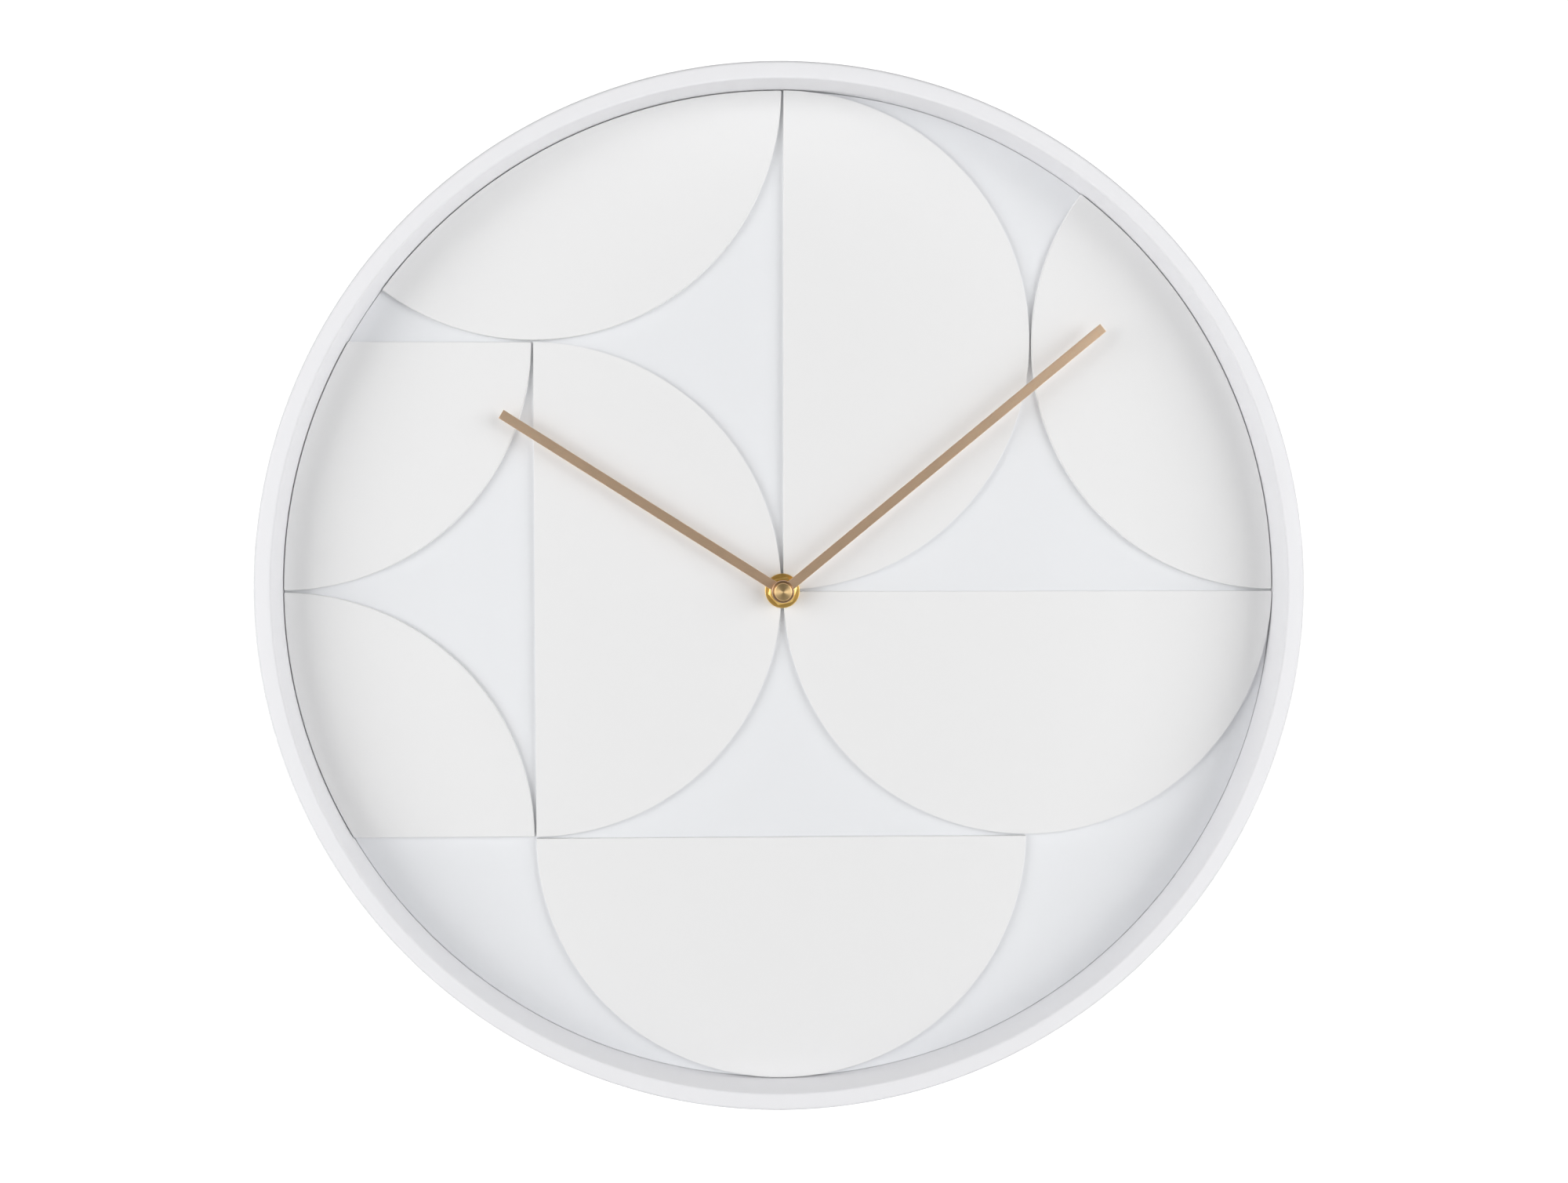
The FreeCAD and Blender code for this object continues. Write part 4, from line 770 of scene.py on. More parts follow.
def repeat(made, tree, **inputs):
    """Repeat an object's mesh with a Geometry Nodes tree, and keep the result as plain mesh."""
    modifier = made.modifiers.new("copies", "NODES")
    modifier.node_group = tree
    sockets = {item.name: item.identifier for item in tree.interface.items_tree if item.in_out == "INPUT"}
    for name, value in inputs.items():
        modifier[sockets[name.replace("_", " ").title()]] = value
    made.update_tag()
    settle(made)
    made.data.shade_smooth()
    made.data.set_sharp_from_angle(angle=math.radians(SHARP_DEGREES))
    return made


def tree_named(name):
    """A Geometry Nodes tree, built the first time it is asked for."""
    makers = {"Ring of Copies": make_ring_of_copies, "Grid of Copies": make_grid_of_copies}
    return bpy.data.node_groups.get(name) or makers[name]()


# ---------------------------------------------------------------------------------------------
# Finishes of the pieces
# ---------------------------------------------------------------------------------------------

def make_finishes(scene):
    """One material for each finish that the record names, and a few more for what varies within one."""
    case, dial, hands, back = scene.clock_case, scene.clock_dial, scene.clock_hands, scene.clock_back
    plastic = dict(grain="Moulded Grain", spread=0.12)
    brushed = dict(grain="Brushed Grain", metallic=1.0)
    turned = dict(grain="Turned Grain", metallic=1.0)
    # The cream edge colour of the hands is a painted highlight on their bevels, together with edge wear.
    sheet = dict(brushed, rgb=hands.colour, second=shaded(hands.colour, 1.12), size=0.0001, roughness=0.4,
                 spread=0.16, bump=0.000004, wear=0.5, worn=(0.9, 0.78, 0.62))
    steel = (0.60, 0.61, 0.63)
    table = {
        "white_case": dict(plastic, rgb=case.colour, second=shaded(case.colour, 0.985), size=0.0005,
                           roughness=0.42, bump=0.000006, dust=0.25, coat_weight=0.08),
        "white_tile": dict(plastic, rgb=dial.tile_colour, second=shaded(dial.tile_colour, 0.99),
                           size=0.0004, roughness=0.6, bump=0.000008, dust=0.15),
        "white_dial": dict(plastic, rgb=dial.base_colour, second=shaded(dial.base_colour, 0.985),
                           size=0.0004, roughness=0.6, bump=0.000008, dust=0.1),
        "white_cover": dict(plastic, rgb=back.cover_colour, second=shaded(back.cover_colour, 0.97),
                            size=0.0008, roughness=0.62, bump=0.00004, dust=0.2),
        "rose_aluminium": sheet,
        "gold_brass": dict(turned, rgb=hands.brass_colour, second=shaded(hands.brass_colour, 1.1),
                           size=0.00012, roughness=0.34, spread=0.14, bump=0.000003),
        "turned_brass": dict(turned, rgb=hands.brass_colour, second=shaded(hands.brass_colour, 1.12),
                             size=0.00012, roughness=0.38, spread=0.14, bump=0.000004, anisotropic=0.4,
                             anisotropic_rotation=0.25, tool_marks=True),
        "black_plastic": dict(plastic, rgb=back.movement_colour, second=shaded(back.movement_colour, 1.5),
                              size=0.0005, roughness=0.5, bump=0.00002, dust=0.25, wear=0.3,
                              worn=(0.12, 0.12, 0.125)),
        "moulded_mark": dict(plastic, rgb=(0.33, 0.33, 0.34), second=(0.24, 0.24, 0.25), size=0.0005,
                             roughness=0.45, bump=0.00001),
        "gear_plastic": dict(plastic, rgb=(0.80, 0.76, 0.66), second=(0.72, 0.67, 0.56), size=0.0004,
                             roughness=0.38, bump=0.000006),
        "gear_white": dict(plastic, rgb=(0.86, 0.86, 0.83), second=(0.80, 0.80, 0.76), size=0.0004,
                           roughness=0.36, bump=0.000006),
        "black_rubber": dict(plastic, rgb=(0.03, 0.03, 0.032), second=(0.05, 0.05, 0.05), size=0.0006,
                             roughness=0.85, bump=0.00003),
        "zinc_steel": dict(brushed, rgb=steel, second=(0.70, 0.69, 0.66), size=0.00025, roughness=0.34,
                           spread=0.18, bump=0.000006, wear=0.5),
        "spring_steel": dict(brushed, rgb=(0.62, 0.62, 0.62), second=(0.72, 0.72, 0.72), size=0.00012,
                             roughness=0.22, spread=0.12, bump=0.000003),
        "soft_iron": dict(brushed, rgb=(0.36, 0.36, 0.38), second=(0.44, 0.43, 0.42), size=0.0002,
                          roughness=0.45, spread=0.15, bump=0.000006),
        "magnet": dict(plastic, rgb=(0.09, 0.09, 0.10), second=(0.14, 0.14, 0.14), size=0.0002,
                       roughness=0.5, bump=0.00001, metallic=0.6),
        "copper_wire": dict(turned, rgb=(0.70, 0.27, 0.10), second=(0.82, 0.40, 0.18), size=0.0002,
                            roughness=0.25, spread=0.15, bump=0.00002),
        "board_green": dict(plastic, rgb=(0.02, 0.14, 0.06), second=(0.03, 0.20, 0.09), size=0.001,
                            roughness=0.3, bump=0.00001, coat_weight=0.4),
        "black_epoxy": dict(plastic, rgb=(0.012, 0.012, 0.013), second=(0.02, 0.02, 0.02), size=0.002,
                            roughness=0.2, bump=0.00001, coat_weight=0.5),
        "battery_jacket": dict(plastic, rgb=back.jacket_colour, second=shaded(back.jacket_colour, 0.85),
                               size=0.002, roughness=0.3, bump=0.000004, metallic=0.5, coat_weight=0.6),
        "battery_band": dict(plastic, rgb=back.band_colour, second=shaded(back.band_colour, 0.9), size=0.002,
                             roughness=0.28, bump=0.000004, metallic=0.85, coat_weight=0.6),
        "turned_cap": dict(turned, rgb=hands.cap_colour, second=shaded(hands.cap_colour, 0.88), size=0.0001,
                           roughness=0.42, spread=0.08, bump=0.000004, anisotropic=0.82,
                           anisotropic_rotation=0.25, tool_marks=True),
        "hour_blade": dict(sheet, turn=hands.hour_turn - math.pi / 2),
        "minute_blade": dict(sheet, turn=hands.minute_turn - math.pi / 2),
        # The hub ring takes the hands' own colour darkened to 0.62: painted shade that stands for the dark
        # reflection seen on the hub near the axis.
        "hand_hub": dict(turned, rgb=shaded(hands.colour, 0.62), second=shaded(hands.colour, 0.9),
                         size=0.00015, roughness=0.32, spread=0.15, bump=0.000006, anisotropic=0.6,
                         anisotropic_rotation=0.25, tool_marks=True),
    }
    for name, values in table.items():
        make_finish(name, **values)


def finish_nodes():
    """Give every node of the frame the finish of its own slot."""
    for subpart in frame["record"]["subparts"]:
        node = frame["nodes"][subpart["node"]]
        for place in node.material_slots:
            place.material = bpy.data.materials[subpart["material_slot"]]


def finish_named(name):
    """A material by the name of its finish."""
    return bpy.data.materials[name]


# ---------------------------------------------------------------------------------------------
# Operators: one for each piece or group of like pieces
# ---------------------------------------------------------------------------------------------

class CLOCK_OT_finishes(bpy.types.Operator):
    """Build the finishes and give each node of the frame its own"""

    bl_idname = "clock.finishes"
    bl_label = "Finishes"

    def execute(self, context):
        make_effects()
        make_finishes(context.scene)
        finish_nodes()
        return {"FINISHED"}


class CLOCK_OT_case_ring(bpy.types.Operator):
    """Turn the case: the rim, its channel open to the back, the ledge and the cover screw bosses"""

    bl_idname = "clock.case_ring"
    bl_label = "Case Ring"

    def execute(self, context):
        size = context.scene.clock_case
        ledge_back = DIAL_BACK + size.ledge_wall
        ledge_inner = BORE_RADIUS - size.ledge_width
        liner = BORE_RADIUS + size.liner_wall
        skirt = CASE_RADIUS - size.skirt_wall
        profile = rounded([
            (CASE_RADIUS, CASE_BACK, size.back_round),
            (CASE_RADIUS, CASE_FRONT, size.outer_round),
            (BORE_RADIUS, CASE_FRONT, size.inner_round),
            (BORE_RADIUS, DIAL_BACK, 0.0),
            (ledge_inner, DIAL_BACK, 0.0),
            (ledge_inner, ledge_back, size.back_round),
            (liner, ledge_back, 0.0),
            (liner, CASE_FRONT + size.rim_wall, 0.0),
            (skirt, CASE_FRONT + size.rim_wall, 0.0),
            (skirt, CASE_BACK, size.back_round),
        ], steps=6)
        bm = bmesh.new()
        lathe(bm, profile, size.segments)
        ring = finish_mesh("case_rim", bm, finish_named("white_case"))
        bm = bmesh.new()
        boss = size.boss_diameter / 2
        pilot = context.scene.clock_back.shank / 2
        hole_end = COVER_FRONT_FACE - size.boss_hole
        foot = ledge_back - size.back_round
        lathe(bm, [
            (pilot, hole_end), (pilot, COVER_FRONT_FACE), (boss, COVER_FRONT_FACE),
            (boss, foot), (0.0, foot), (0.0, hole_end),
        ], segments=32)
        bosses = finish_mesh("case_bosses", bm, finish_named("white_case"))
        repeat(bosses, tree_named("Ring of Copies"), count=size.boss_count, radius=size.boss_circle,
               first_angle=math.pi / 2, material=finish_named("white_case"))
        made = join_meshes("case_ring_moulding", [ring, bosses])
        stand_for(made, "clock_case", "white_case", "case_ring")
        return {"FINISHED"}


def tile_outline(across, up, facing, gap, steps):
    """The half disc of a tile, trimmed by the rim and by the hole for the hands."""
    grid = BORE_RADIUS / 2
    centre = Vector((across * grid, up * grid))
    radius = grid - gap
    aim = math.atan2(facing[1], facing[0])
    half_turn = math.acos(gap / radius)
    outline = []
    for step in range(steps + 1):
        angle = aim - half_turn + 2 * half_turn * step / steps
        outline.append(centre + radius * Vector((math.cos(angle), math.sin(angle))))
    middle = Vector((0.0, 0.0))
    outline = trim_by_circle(outline, middle, BORE_RADIUS - gap, True)
    return trim_by_circle(outline, middle, HUB_HOLE_RADIUS, False)


class CLOCK_OT_tiles(bpy.types.Operator):
    """Raise the half disc tiles on the dial, each with a softly rounded front edge"""

    bl_idname = "clock.tiles"
    bl_label = "Dial Tiles"

    def execute(self, context):
        size = context.scene.clock_dial
        for node, (across, up, facing) in TILES.items():
            bm = bmesh.new()
            outline = tile_outline(across, up, facing, size.tile_gap, size.steps)
            extrude_outline(bm, outline, TILE_LOW.y, DIAL_FRONT)
            made = finish_mesh(node + "_relief", bm, finish_named("white_tile"))
            soften(made, size.tile_round, steps=5, angle=40.0)
            stand_for(made, "clock_case", "white_tile", node)
        return {"FINISHED"}


def blade_outline(width, hub, reach):
    """A straight hand that points up from a round hub."""
    half = width / 2
    start = math.asin(half / hub)
    outline = [(half, reach), (-half, reach)]
    steps = 72
    for step in range(steps + 1):
        angle = -start - (math.tau - 2 * start) * step / steps
        outline.append((hub * math.sin(angle), hub * math.cos(angle)))
    return outline


def make_hand(name, node, body, material, size, reach, turn):
    """A straight flat hand cut from sheet, with a round hub."""
    low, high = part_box(node)
    bm = bmesh.new()
    outline = blade_outline(size.width, size.hub_diameter / 2, reach)
    extrude_outline(bm, outline, low.y, high.y)
    blade = finish_mesh(name, bm, finish_named(material))
    soften(blade, size.edge_round, steps=2, angle=40.0)
    move_mesh(blade, Matrix.Rotation(turn, 4, "Y"))
    return stand_for(blade, body, "rose_aluminium", node)


class CLOCK_OT_hands(bpy.types.Operator):
    """Cut the two brushed hands"""

    bl_idname = "clock.hands"
    bl_label = "Hands"

    def execute(self, context):
        size = context.scene.clock_hands
        make_hand("hour_hand_blade", "hour_hand", "hour_hand_body", "hour_blade", size,
                  size.hour_length, size.hour_turn)
        make_hand("minute_hand_blade", "minute_hand", "minute_hand_body", "minute_blade", size,
                  size.minute_length, size.minute_turn)
        return {"FINISHED"}


def turned_piece(name, corners, material, segments=96):
    """A turned piece with a map that runs round the axis, for the sheen of its tool marks."""
    bm = bmesh.new()
    lathe(bm, rounded(corners), segments)
    made = finish_mesh(name, bm, finish_named(material))
    add_turned_map(made)
    return made


def add_turned_map(made):
    """A UV map whose U runs round the Y axis and whose V runs outwards and along it."""
    layer = made.data.uv_layers.new(name=TURNED_MAP)
    for polygon in made.data.polygons:
        middle = math.atan2(polygon.center.z, polygon.center.x)
        for loop in polygon.loop_indices:
            point = made.data.vertices[made.data.loops[loop].vertex_index].co
            radius = math.hypot(point.x, point.z)
            angle = math.atan2(point.z, point.x) if radius > MERGE_DISTANCE else middle
            if angle - middle > math.pi:
                angle -= math.tau
            if middle - angle > math.pi:
                angle += math.tau
            layer.data[loop].uv = (angle / math.tau + 0.5, (radius - point.y) * TURNED_MAP_SCALE)


class CLOCK_OT_hub(bpy.types.Operator):
    """Turn the washer, the nut, the cap and the ring round it in the middle of the dial"""

    bl_idname = "clock.hub"
    bl_label = "Washer, Nut and Cap"

    def execute(self, context):
        size = context.scene.clock_hands
        thread = size.thread / 2
        fine = size.fine_round
        washer = turned_piece("dial_washer_turned", [
            (WASHER_HIGH.x, WASHER_HIGH.y, fine),
            (WASHER_HIGH.x, WASHER_LOW.y, size.washer_round),
            (thread, WASHER_LOW.y, fine),
            (thread, WASHER_HIGH.y, fine),
        ], "turned_brass")
        stand_for(washer, "clock_case", "gold_brass", "dial_washer")

        bm = bmesh.new()
        turn_hexagon(bm, size.nut_flats / 2, size.nut_turn, size.nut_land, thread)
        nut = finish_mesh("dial_nut_chamfered", bm, finish_named("turned_brass"), sharp=20.0)
        add_turned_map(nut)
        stand_for(nut, "clock_case", "gold_brass", "dial_nut")

        radius = CAP_HIGH.x
        cap = turned_piece("hand_cap_turned", [
            (0.0, CAP_LOW.y, 0.0),
            (radius, CAP_LOW.y, size.cap_round),
            (radius, CAP_HIGH.y, 2 * fine),
            (0.0, CAP_HIGH.y, 0.0),
        ], "turned_cap")
        stand_for(cap, "minute_hand_body", "gold_brass", "hand_cap")

        # The ring's darker finish is painted shade for a dark reflection, not a colour of its own.
        ring = turned_piece("minute_hub_ring", hub_ring_profile(size, radius), "hand_hub")
        stand_for(ring, "minute_hand_body", "rose_aluminium")
        return {"FINISHED"}


def turn_hexagon(bm, flat, turn, land_step, thread, segments=144, steps=8):
    """A nut: a flat land, a chamfer that ends on the flats of a hexagon, and a threaded hole."""
    land = flat - land_step
    corner = flat / math.cos(math.pi / 6)
    slope = math.tan(math.radians(30))
    side = math.pi / 3
    rings = []
    for segment in range(segments):
        angle = math.tau * segment / segments
        off = (angle - turn - side / 2) % side
        end = flat / math.cos(min(off, side - off))
        line = [(thread, NUT_LOW.y)]
        for step in range(steps + 1):
            out = min(land + (corner - land) * step / steps, end)
            line.append((out, NUT_LOW.y + (out - land) * slope))
        line += [(end, NUT_HIGH.y), (thread, NUT_HIGH.y)]
        rings.append([bm.verts.new((r * math.cos(angle), y, r * math.sin(angle))) for r, y in line])
    total = len(rings[0])
    for segment, here in enumerate(rings):
        after = rings[(segment + 1) % segments]
        for point in range(total):
            following = (point + 1) % total
            bm.faces.new([here[point], after[point], after[following], here[following]])


def hub_ring_profile(size, cap_radius):
    """The section of the ring round the cap, with fine grooves in its front face."""
    face = CAP_HIGH.y
    outside = size.hub_diameter / 2 - size.hub_edge
    root = face + size.hub_edge
    crest = face - size.hub_relief
    groove = face - size.hub_relief * 0.3
    step = (outside - size.hub_edge - cap_radius) / size.hub_grooves
    profile = [(outside, root, 0.0)]
    for number in range(size.hub_grooves):
        out = outside - number * step
        profile += [
            (out, crest, size.hub_edge * 0.3), (out - step * 0.6, crest, size.hub_edge * 0.3),
            (out - step * 0.7, groove, 0.0), (out - step * 0.9, groove, 0.0),
        ]
    inside = cap_radius - size.hub_edge * 4
    return profile + [(inside, groove, 0.0), (inside, root, 0.0)]


def screw_blank(head, height, shank, reach, name):
    """A pan-head screw with a cross recess: its seat at y = 0, its head behind and its shank in front."""
    bm = bmesh.new()
    radius = head / 2
    crown, seat_edge = height * 0.45, 0.0001
    lathe(bm, rounded([
        (0.0, height, 0.0), (radius, height, crown), (radius, 0.0, seat_edge),
        (shank / 2, 0.0, 0.0), (shank / 2, -reach, shank * 0.12), (0.0, -reach, 0.0),
    ]), segments=40)
    blank = finish_mesh(name, bm, finish_named("zinc_steel"))
    bm = bmesh.new()
    width, span, depth, taper = head * 0.13, head * 0.5, height * 0.62, 0.55
    for across, along in ((width, span), (span, width)):
        made = bmesh.ops.create_cube(bm, size=1.0)
        bmesh.ops.scale(bm, vec=(across, depth * 2, along), verts=made["verts"])
        for vert in made["verts"]:
            vert.co.y += height
            if vert.co.y < height:
                vert.co.x *= taper
                vert.co.z *= taper
    cutter = finish_mesh("cross", bm, None)
    cut = blank.modifiers.new("recess", "BOOLEAN")
    cut.operation = "DIFFERENCE"
    cut.solver = "EXACT"
    cut.use_self = True
    cut.object = cutter
    settle(blank)
    bpy.data.objects.remove(cutter)
    return blank


def screw_set(name, node, size, head, reach, tree, **places):
    """A set of like screws, copied to their places, each with its recess turned its own way."""
    screws = screw_blank(head, size.screw_height, size.shank, reach, name)
    repeat(screws, tree_named(tree), loose_turn=math.pi, material=finish_named("zinc_steel"), **places)
    low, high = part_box(node)
    seat = Vector((0.0, high.y - size.screw_height, (low.z + high.z) / 2))
    move_mesh(screws, Matrix.Translation(seat))
    stand_for(screws, "clock_case", "zinc_steel", node)


class CLOCK_OT_screws(bpy.types.Operator):
    """Drive the rings of dial and cover screws and the four hanger screws"""

    bl_idname = "clock.screws"
    bl_label = "Screws"

    def execute(self, context):
        size = context.scene.clock_back
        case = context.scene.clock_case
        screw_set("cover_screw_set", "cover_screws", size, size.screw_head, size.cover_reach,
                  "Ring of Copies", count=case.boss_count, radius=case.boss_circle, first_angle=math.pi / 2)
        screw_set("dial_screw_set", "dial_screws", size, size.wide_head, size.dial_reach,
                  "Ring of Copies", count=case.boss_count, radius=size.dial_screw_circle,
                  first_angle=math.pi / 3)
        low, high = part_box("hanger_screws")
        screw_set("hanger_screw_set", "hanger_screws", size, size.screw_head, size.hanger_reach,
                  "Grid of Copies", across=high.x - low.x - size.screw_head,
                  up=high.z - low.z - size.screw_head, columns=2, rows=2)
        return {"FINISHED"}


class CLOCK_OT_back(bpy.types.Operator):
    """Soften the edges of the back cover, the hanger and the movement's case, and raise its marks"""

    bl_idname = "clock.back"
    bl_label = "Back Cover, Hanger and Movement"

    def execute(self, context):
        size = context.scene.clock_back
        softened = (
            ("back_cover_moulding", "back_cover", "white_cover", size.cover_round),
            ("keyhole_hanger_stamping", "keyhole_hanger", "zinc_steel", size.hanger_round),
            ("movement_rear_moulding", "movement_rear_case", "black_plastic", size.movement_round),
            ("movement_front_moulding", "movement_front_case", "black_plastic", size.movement_round),
        )
        for name, node, slot, width in softened:
            stand_for(softened_copy(name, node, slot, width), "clock_case", slot, node)
        make_beads(size, context.scene.clock_case.segments)
        make_marks(size)
        return {"FINISHED"}


def make_beads(size, segments):
    """Two round beads that stiffen the back cover."""
    bm = bmesh.new()
    half, rise = size.bead_width / 2, size.bead_height
    root, crest = COVER_HIGH.y - rise, COVER_HIGH.y + rise
    for radius in (size.outer_bead, size.inner_bead):
        lathe(bm, rounded([
            (radius - half, root, 0.0), (radius + half, root, 0.0),
            (radius + half, crest, rise * 0.8), (radius - half, crest, rise * 0.8),
        ]), segments)
    beads = finish_mesh("back_cover_beads", bm, finish_named("white_cover"))
    stand_for(beads, "clock_case", "white_cover")


def make_marks(size):
    """The polarity marks over the battery and the arrow round the knob, raised from the movement's back."""
    stroke = size.mark_stroke
    outlines = (
        cross_outline(size.mark_span, stroke, size.mark_across, size.mark_up),
        bar_outline(size.mark_span, stroke, -size.mark_across, size.mark_up),
        arrow_outline(KNOB_MIDDLE.x, KNOB_MIDDLE.z, size.arrow_radius, stroke),
    )
    foot = MOVEMENT_HIGH.y - size.mark_height / 2
    face = MOVEMENT_HIGH.y + size.mark_height
    bm = bmesh.new()
    for outline in outlines:
        extrude_outline(bm, outline, foot, face)
    marks = finish_mesh("movement_marks", bm, finish_named("moulded_mark"))
    soften(marks, stroke / 8, steps=2)
    stand_for(marks, "clock_case", "black_plastic")


def bar_outline(span, stroke, across, up):
    """A flat bar: the mark of the minus end."""
    return [(across + x * span / 2, up + z * stroke / 2) for x, z in ((-1, -1), (1, -1), (1, 1), (-1, 1))]


def cross_outline(span, stroke, across, up):
    """An upright cross: the mark of the plus end."""
    arm, half = span / 2, stroke / 2
    quarter = [(half, half), (half, arm), (-half, arm)]
    outline = []
    for turn in range(4):
        for x, z in quarter:
            for _ in range(turn):
                x, z = -z, x
            outline.append((across + x, up + z))
    return outline


def arrow_outline(across, up, radius, stroke):
    """An arc with a head at one end, that shows which way the knob sets the hands."""
    start, sweep, steps = math.radians(30), math.radians(120), 36
    arc = [start + sweep * step / steps for step in range(steps + 1)]
    outer = [(radius + stroke / 2, angle) for angle in arc]
    spread = stroke * 1.6
    head = [(radius + spread, arc[-1]), (radius, arc[-1] + sweep / 6), (radius - spread, arc[-1])]
    inner = [(radius - stroke / 2, angle) for angle in reversed(arc)]
    points = outer + head + inner
    return [(across + out * math.cos(angle), up + out * math.sin(angle)) for out, angle in points]


class CLOCK_OT_knob(bpy.types.Operator):
    """Mould the setting knob: a dished disc with grip ribs round its edge"""

    bl_idname = "clock.knob"
    bl_label = "Setting Knob"

    def execute(self, context):
        size = context.scene.clock_back
        half = (KNOB_HIGH.y - KNOB_LOW.y) / 2
        core = (KNOB_HIGH.z - KNOB_LOW.z) / 2 - size.knob_rib
        lip = core - size.knob_lip
        dish = half - size.knob_dish
        broad, fine = 0.0003, 0.0002
        bm = bmesh.new()
        lathe(bm, rounded([
            (0.0, dish, 0.0), (lip - size.knob_dish, dish, broad),
            (lip, half, fine), (core, half, broad), (core, -half, fine), (0.0, -half, 0.0),
        ]), segments=96)
        disc = finish_mesh("knob_disc", bm, finish_named("gear_white"))
        bm = bmesh.new()
        end = half - size.knob_rib / 2
        lathe(bm, rounded([
            (0.0, -end, 0.0), (size.knob_rib, -end, size.knob_rib * 0.6),
            (size.knob_rib, end, size.knob_rib * 0.6), (0.0, end, 0.0),
        ], steps=3), segments=12)
        ribs = finish_mesh("knob_ribs", bm, finish_named("gear_white"))
        repeat(ribs, tree_named("Ring of Copies"), count=size.knob_ribs, radius=core,
               material=finish_named("gear_white"))
        knob = join_meshes("setting_knob_ribbed", [disc, ribs])
        move_mesh(knob, Matrix.Translation(KNOB_MIDDLE))
        stand_for(knob, "setting_knob_body", "gear_white", "setting_knob")
        return {"FINISHED"}


class CLOCK_OT_battery(bpy.types.Operator):
    """Roll the cell: a jacket with a band at the plus end, bare ends and a nub"""

    bl_idname = "clock.battery"
    bl_label = "Battery"

    def execute(self, context):
        size = context.scene.clock_back
        radius = (BATTERY_HIGH.z - BATTERY_LOW.z) / 2
        half = (BATTERY_HIGH.x - BATTERY_LOW.x) / 2
        nub = size.battery_nub / 2
        fold = size.battery_fold
        cap = radius - 2 * fold
        shoulder = -half + size.nub_height
        jacket_start = shoulder + fold / 2
        jacket_end = half - fold / 3
        band_end = -half + size.battery_band
        bm = bmesh.new()
        lathe(bm, rounded([
            (0.0, -half, 0.0), (nub, -half, fold / 2), (nub, shoulder, fold / 3),
            (cap, shoulder, fold / 3), (cap, jacket_start, fold / 6),
            (radius, jacket_start, fold), (radius, band_end, 0.0), (radius, jacket_end, fold),
            (cap, jacket_end, fold / 6), (cap, half, 0.0), (0.0, half, 0.0),
        ]), segments=72)
        cell = finish_mesh("battery_cell", bm, finish_named("battery_jacket"))
        for extra in ("battery_band", "spring_steel"):
            cell.data.materials.append(finish_named(extra))
        for polygon in cell.data.polygons:
            along, out = polygon.center.y, math.hypot(polygon.center.x, polygon.center.z)
            if out < radius - fold:
                polygon.material_index = 2
            elif along < band_end:
                polygon.material_index = 1
        middle = (BATTERY_LOW + BATTERY_HIGH) / 2
        move_mesh(cell, Matrix.Translation(middle) @ Matrix.Rotation(math.pi / 2, 4, "Z"))
        stand_for(cell, "battery_body", "battery_jacket", "battery")
        return {"FINISHED"}


class CLOCK_OT_stage(bpy.types.Operator):
    """Set up the camera, the pale floor and the softboxes"""

    bl_idname = "clock.stage"
    bl_label = "Stage"

    def execute(self, context):
        scene = context.scene
        stage = scene.clock_stage
        make_camera(scene, stage)
        make_floor(stage)
        make_lights(scene, stage)
        make_surroundings(scene, stage)
        scene.view_settings.view_transform = "Standard"
        return {"FINISHED"}


def make_camera(scene, stage):
    """Look at the rim's front plane from a little to the left and above."""
    across = Matrix.Rotation(stage.camera_azimuth, 3, "Z")
    rise = Matrix.Rotation(-stage.camera_elevation, 3, "X")
    turn = across @ rise
    forward = turn @ Vector((0.0, 1.0, 0.0))
    right = turn @ Vector((1.0, 0.0, 0.0))
    up = turn @ Vector((0.0, 0.0, 1.0))
    aim = Vector((0.0, CASE_FRONT, 0.0)) + right * stage.aim_across + up * stage.aim_up
    data = bpy.data.cameras.new("camera")
    data.lens = stage.camera_lens
    data.sensor_width = 36.0
    data.clip_start = 0.01
    data.clip_end = 100.0
    camera = bpy.data.objects.new("camera", data)
    camera.location = aim - forward * stage.camera_distance
    camera.rotation_euler = forward.to_track_quat("-Z", "Y").to_euler()
    scene.collection.objects.link(camera)
    scene.camera = camera


def make_floor(stage):
    """A plain pale floor well below the clock."""
    bm = bmesh.new()
    height = CAD_BOX[0].z - stage.floor_drop
    bmesh.ops.create_grid(bm, x_segments=4, y_segments=4, size=stage.floor_size / 2,
                          matrix=Matrix.Translation((0.0, 0.0, height)))
    material = bpy.data.materials.new("floor")
    material.use_nodes = True
    tree = material.node_tree
    shader = tree.nodes["Principled BSDF"]
    place = add_node(tree, "TexCoord").outputs["Object"]
    cloud = add_node(tree, "TexNoise", {"Vector": place, "Scale": 1.5, "Detail": 3.0})
    shade = mixed(tree, cloud.outputs["Fac"], opaque(stage.floor_colour),
                  opaque(shaded(stage.floor_colour, 0.98)))
    tree.links.new(shade, shader.inputs["Base Color"])
    shader.inputs["Roughness"].default_value = 0.8
    shader.inputs["Emission Color"].default_value = (1.0, 1.0, 1.0, 1.0)
    seen = add_node(tree, "LightPath").outputs["Is Camera Ray"]
    tree.links.new(seen, shader.inputs["Emission Strength"])
    floor = finish_mesh("floor", bm, material)


def add_softbox(scene, name, place, aim, width, height, power):
    """A rectangular light that faces a point."""
    data = bpy.data.lights.new(name, "AREA")
    data.shape = "RECTANGLE"
    data.size = width
    data.size_y = height
    data.energy = power
    light = bpy.data.objects.new(name, data)
    light.location = place
    light.rotation_euler = (Vector(aim) - Vector(place)).to_track_quat("-Z", "Y").to_euler()
    scene.collection.objects.link(light)


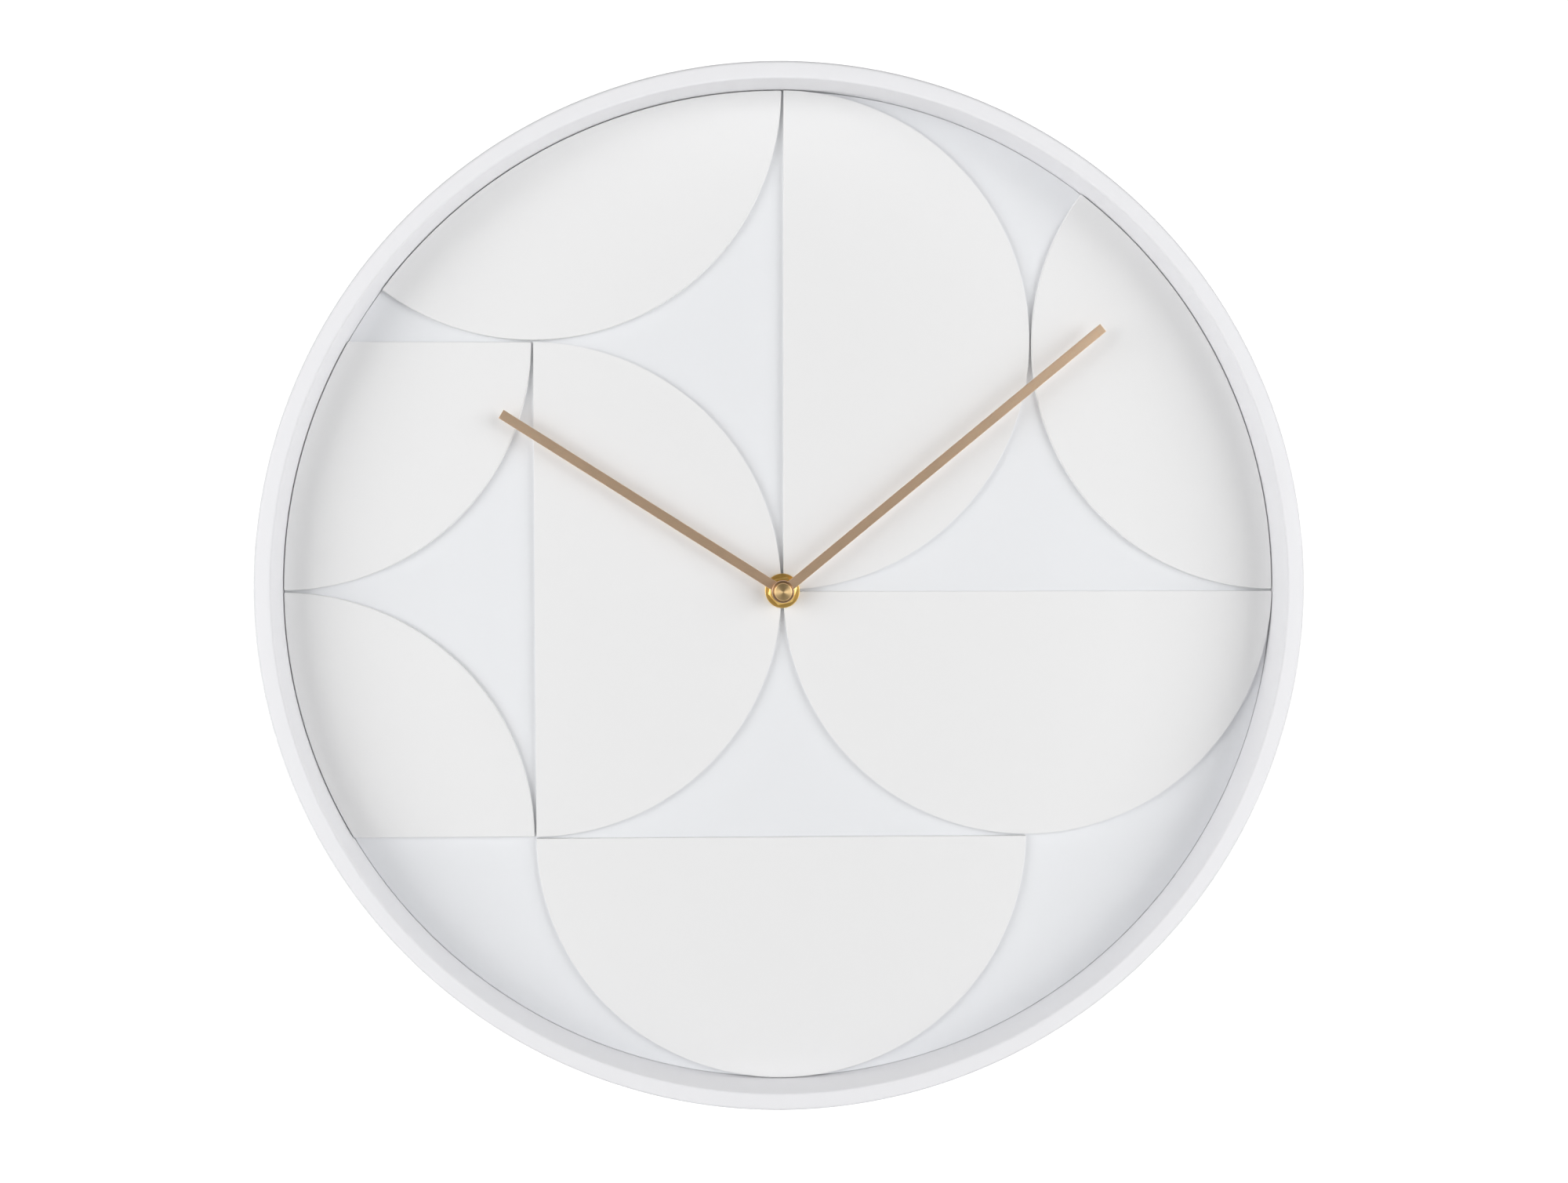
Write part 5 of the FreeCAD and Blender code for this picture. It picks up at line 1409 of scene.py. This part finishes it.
# Each softbox: its place, the point it faces, its width and height, and the setting that holds its power.
DIAL_MIDDLE = (0.0, DIAL_FRONT, 0.0)
SOFTBOXES = {
    "left_softbox": ((-1.05, -0.87, 0.17), DIAL_MIDDLE, 1.15, 1.0, "side_power"),
    "right_softbox": ((1.05, -0.87, 0.17), DIAL_MIDDLE, 1.15, 1.0, "side_power"),
    "top_softbox": ((0.0, -1.0, 1.35), DIAL_MIDDLE, 1.6, 0.7, "top_power"),
    "front_fill": ((0.0, -1.9, 0.1), DIAL_MIDDLE, 1.4, 1.4, "front_power"),
    "back_fill": ((0.0, 1.6, 0.9), (0.0, 0.0, 0.0), 1.8, 1.2, "back_power"),
}


def make_lights(scene, stage):
    """Large softboxes at both sides, one above, a weak one in front and one behind."""
    for name, (place, aim, width, height, power) in SOFTBOXES.items():
        add_softbox(scene, name, place, aim, width, height, getattr(stage, power))


def make_surroundings(scene, stage):
    """A white background to the camera, and an even weak light on the clock."""
    world = bpy.data.worlds.new("studio")
    scene.world = world
    world.use_nodes = True
    tree = world.node_tree
    tree.nodes.clear()
    seen = add_node(tree, "LightPath").outputs["Is Camera Ray"]
    strength = maths(tree, "MULTIPLY_ADD", seen, stage.backdrop - stage.ambient, stage.ambient)
    glow = add_node(tree, "Background", {"Color": (1.0, 1.0, 1.0, 1.0), "Strength": strength})
    end = add_node(tree, "OutputWorld")
    tree.links.new(glow.outputs[0], end.inputs["Surface"])


OPERATORS = (
    CLOCK_OT_stage,
    CLOCK_OT_finishes,
    CLOCK_OT_case_ring,
    CLOCK_OT_tiles,
    CLOCK_OT_hands,
    CLOCK_OT_hub,
    CLOCK_OT_screws,
    CLOCK_OT_back,
    CLOCK_OT_knob,
    CLOCK_OT_battery,
)


class CLOCK_PT_pieces(bpy.types.Panel):
    """The clock's pieces, in the order they are made"""

    bl_label = "Wall Clock"
    bl_idname = "CLOCK_PT_pieces"
    bl_space_type = "VIEW_3D"
    bl_region_type = "UI"
    bl_category = "Wall Clock"

    def draw(self, context):
        for operator in OPERATORS:
            self.layout.operator(operator.bl_idname)


SETTINGS = {
    "clock_case": ClockCaseSettings,
    "clock_dial": ClockDialSettings,
    "clock_hands": ClockHandSettings,
    "clock_back": ClockBackSettings,
    "clock_stage": ClockStageSettings,
}


def register():
    """Register the settings, the operators and the panel."""
    for name, group in SETTINGS.items():
        bpy.utils.register_class(group)
        setattr(bpy.types.Scene, name, bpy.props.PointerProperty(type=group))
    for item in OPERATORS + (CLOCK_PT_pieces,):
        bpy.utils.register_class(item)


def unregister():
    """Take back what register() added."""
    for item in reversed(OPERATORS + (CLOCK_PT_pieces,)):
        bpy.utils.unregister_class(item)
    for name, group in SETTINGS.items():
        delattr(bpy.types.Scene, name)
        bpy.utils.unregister_class(group)


def main():
    """Make every piece in order."""
    register()
    for operator in OPERATORS:
        getattr(bpy.ops.clock, operator.bl_idname.split(".")[1])()


if __name__ == "__main__":
    main()
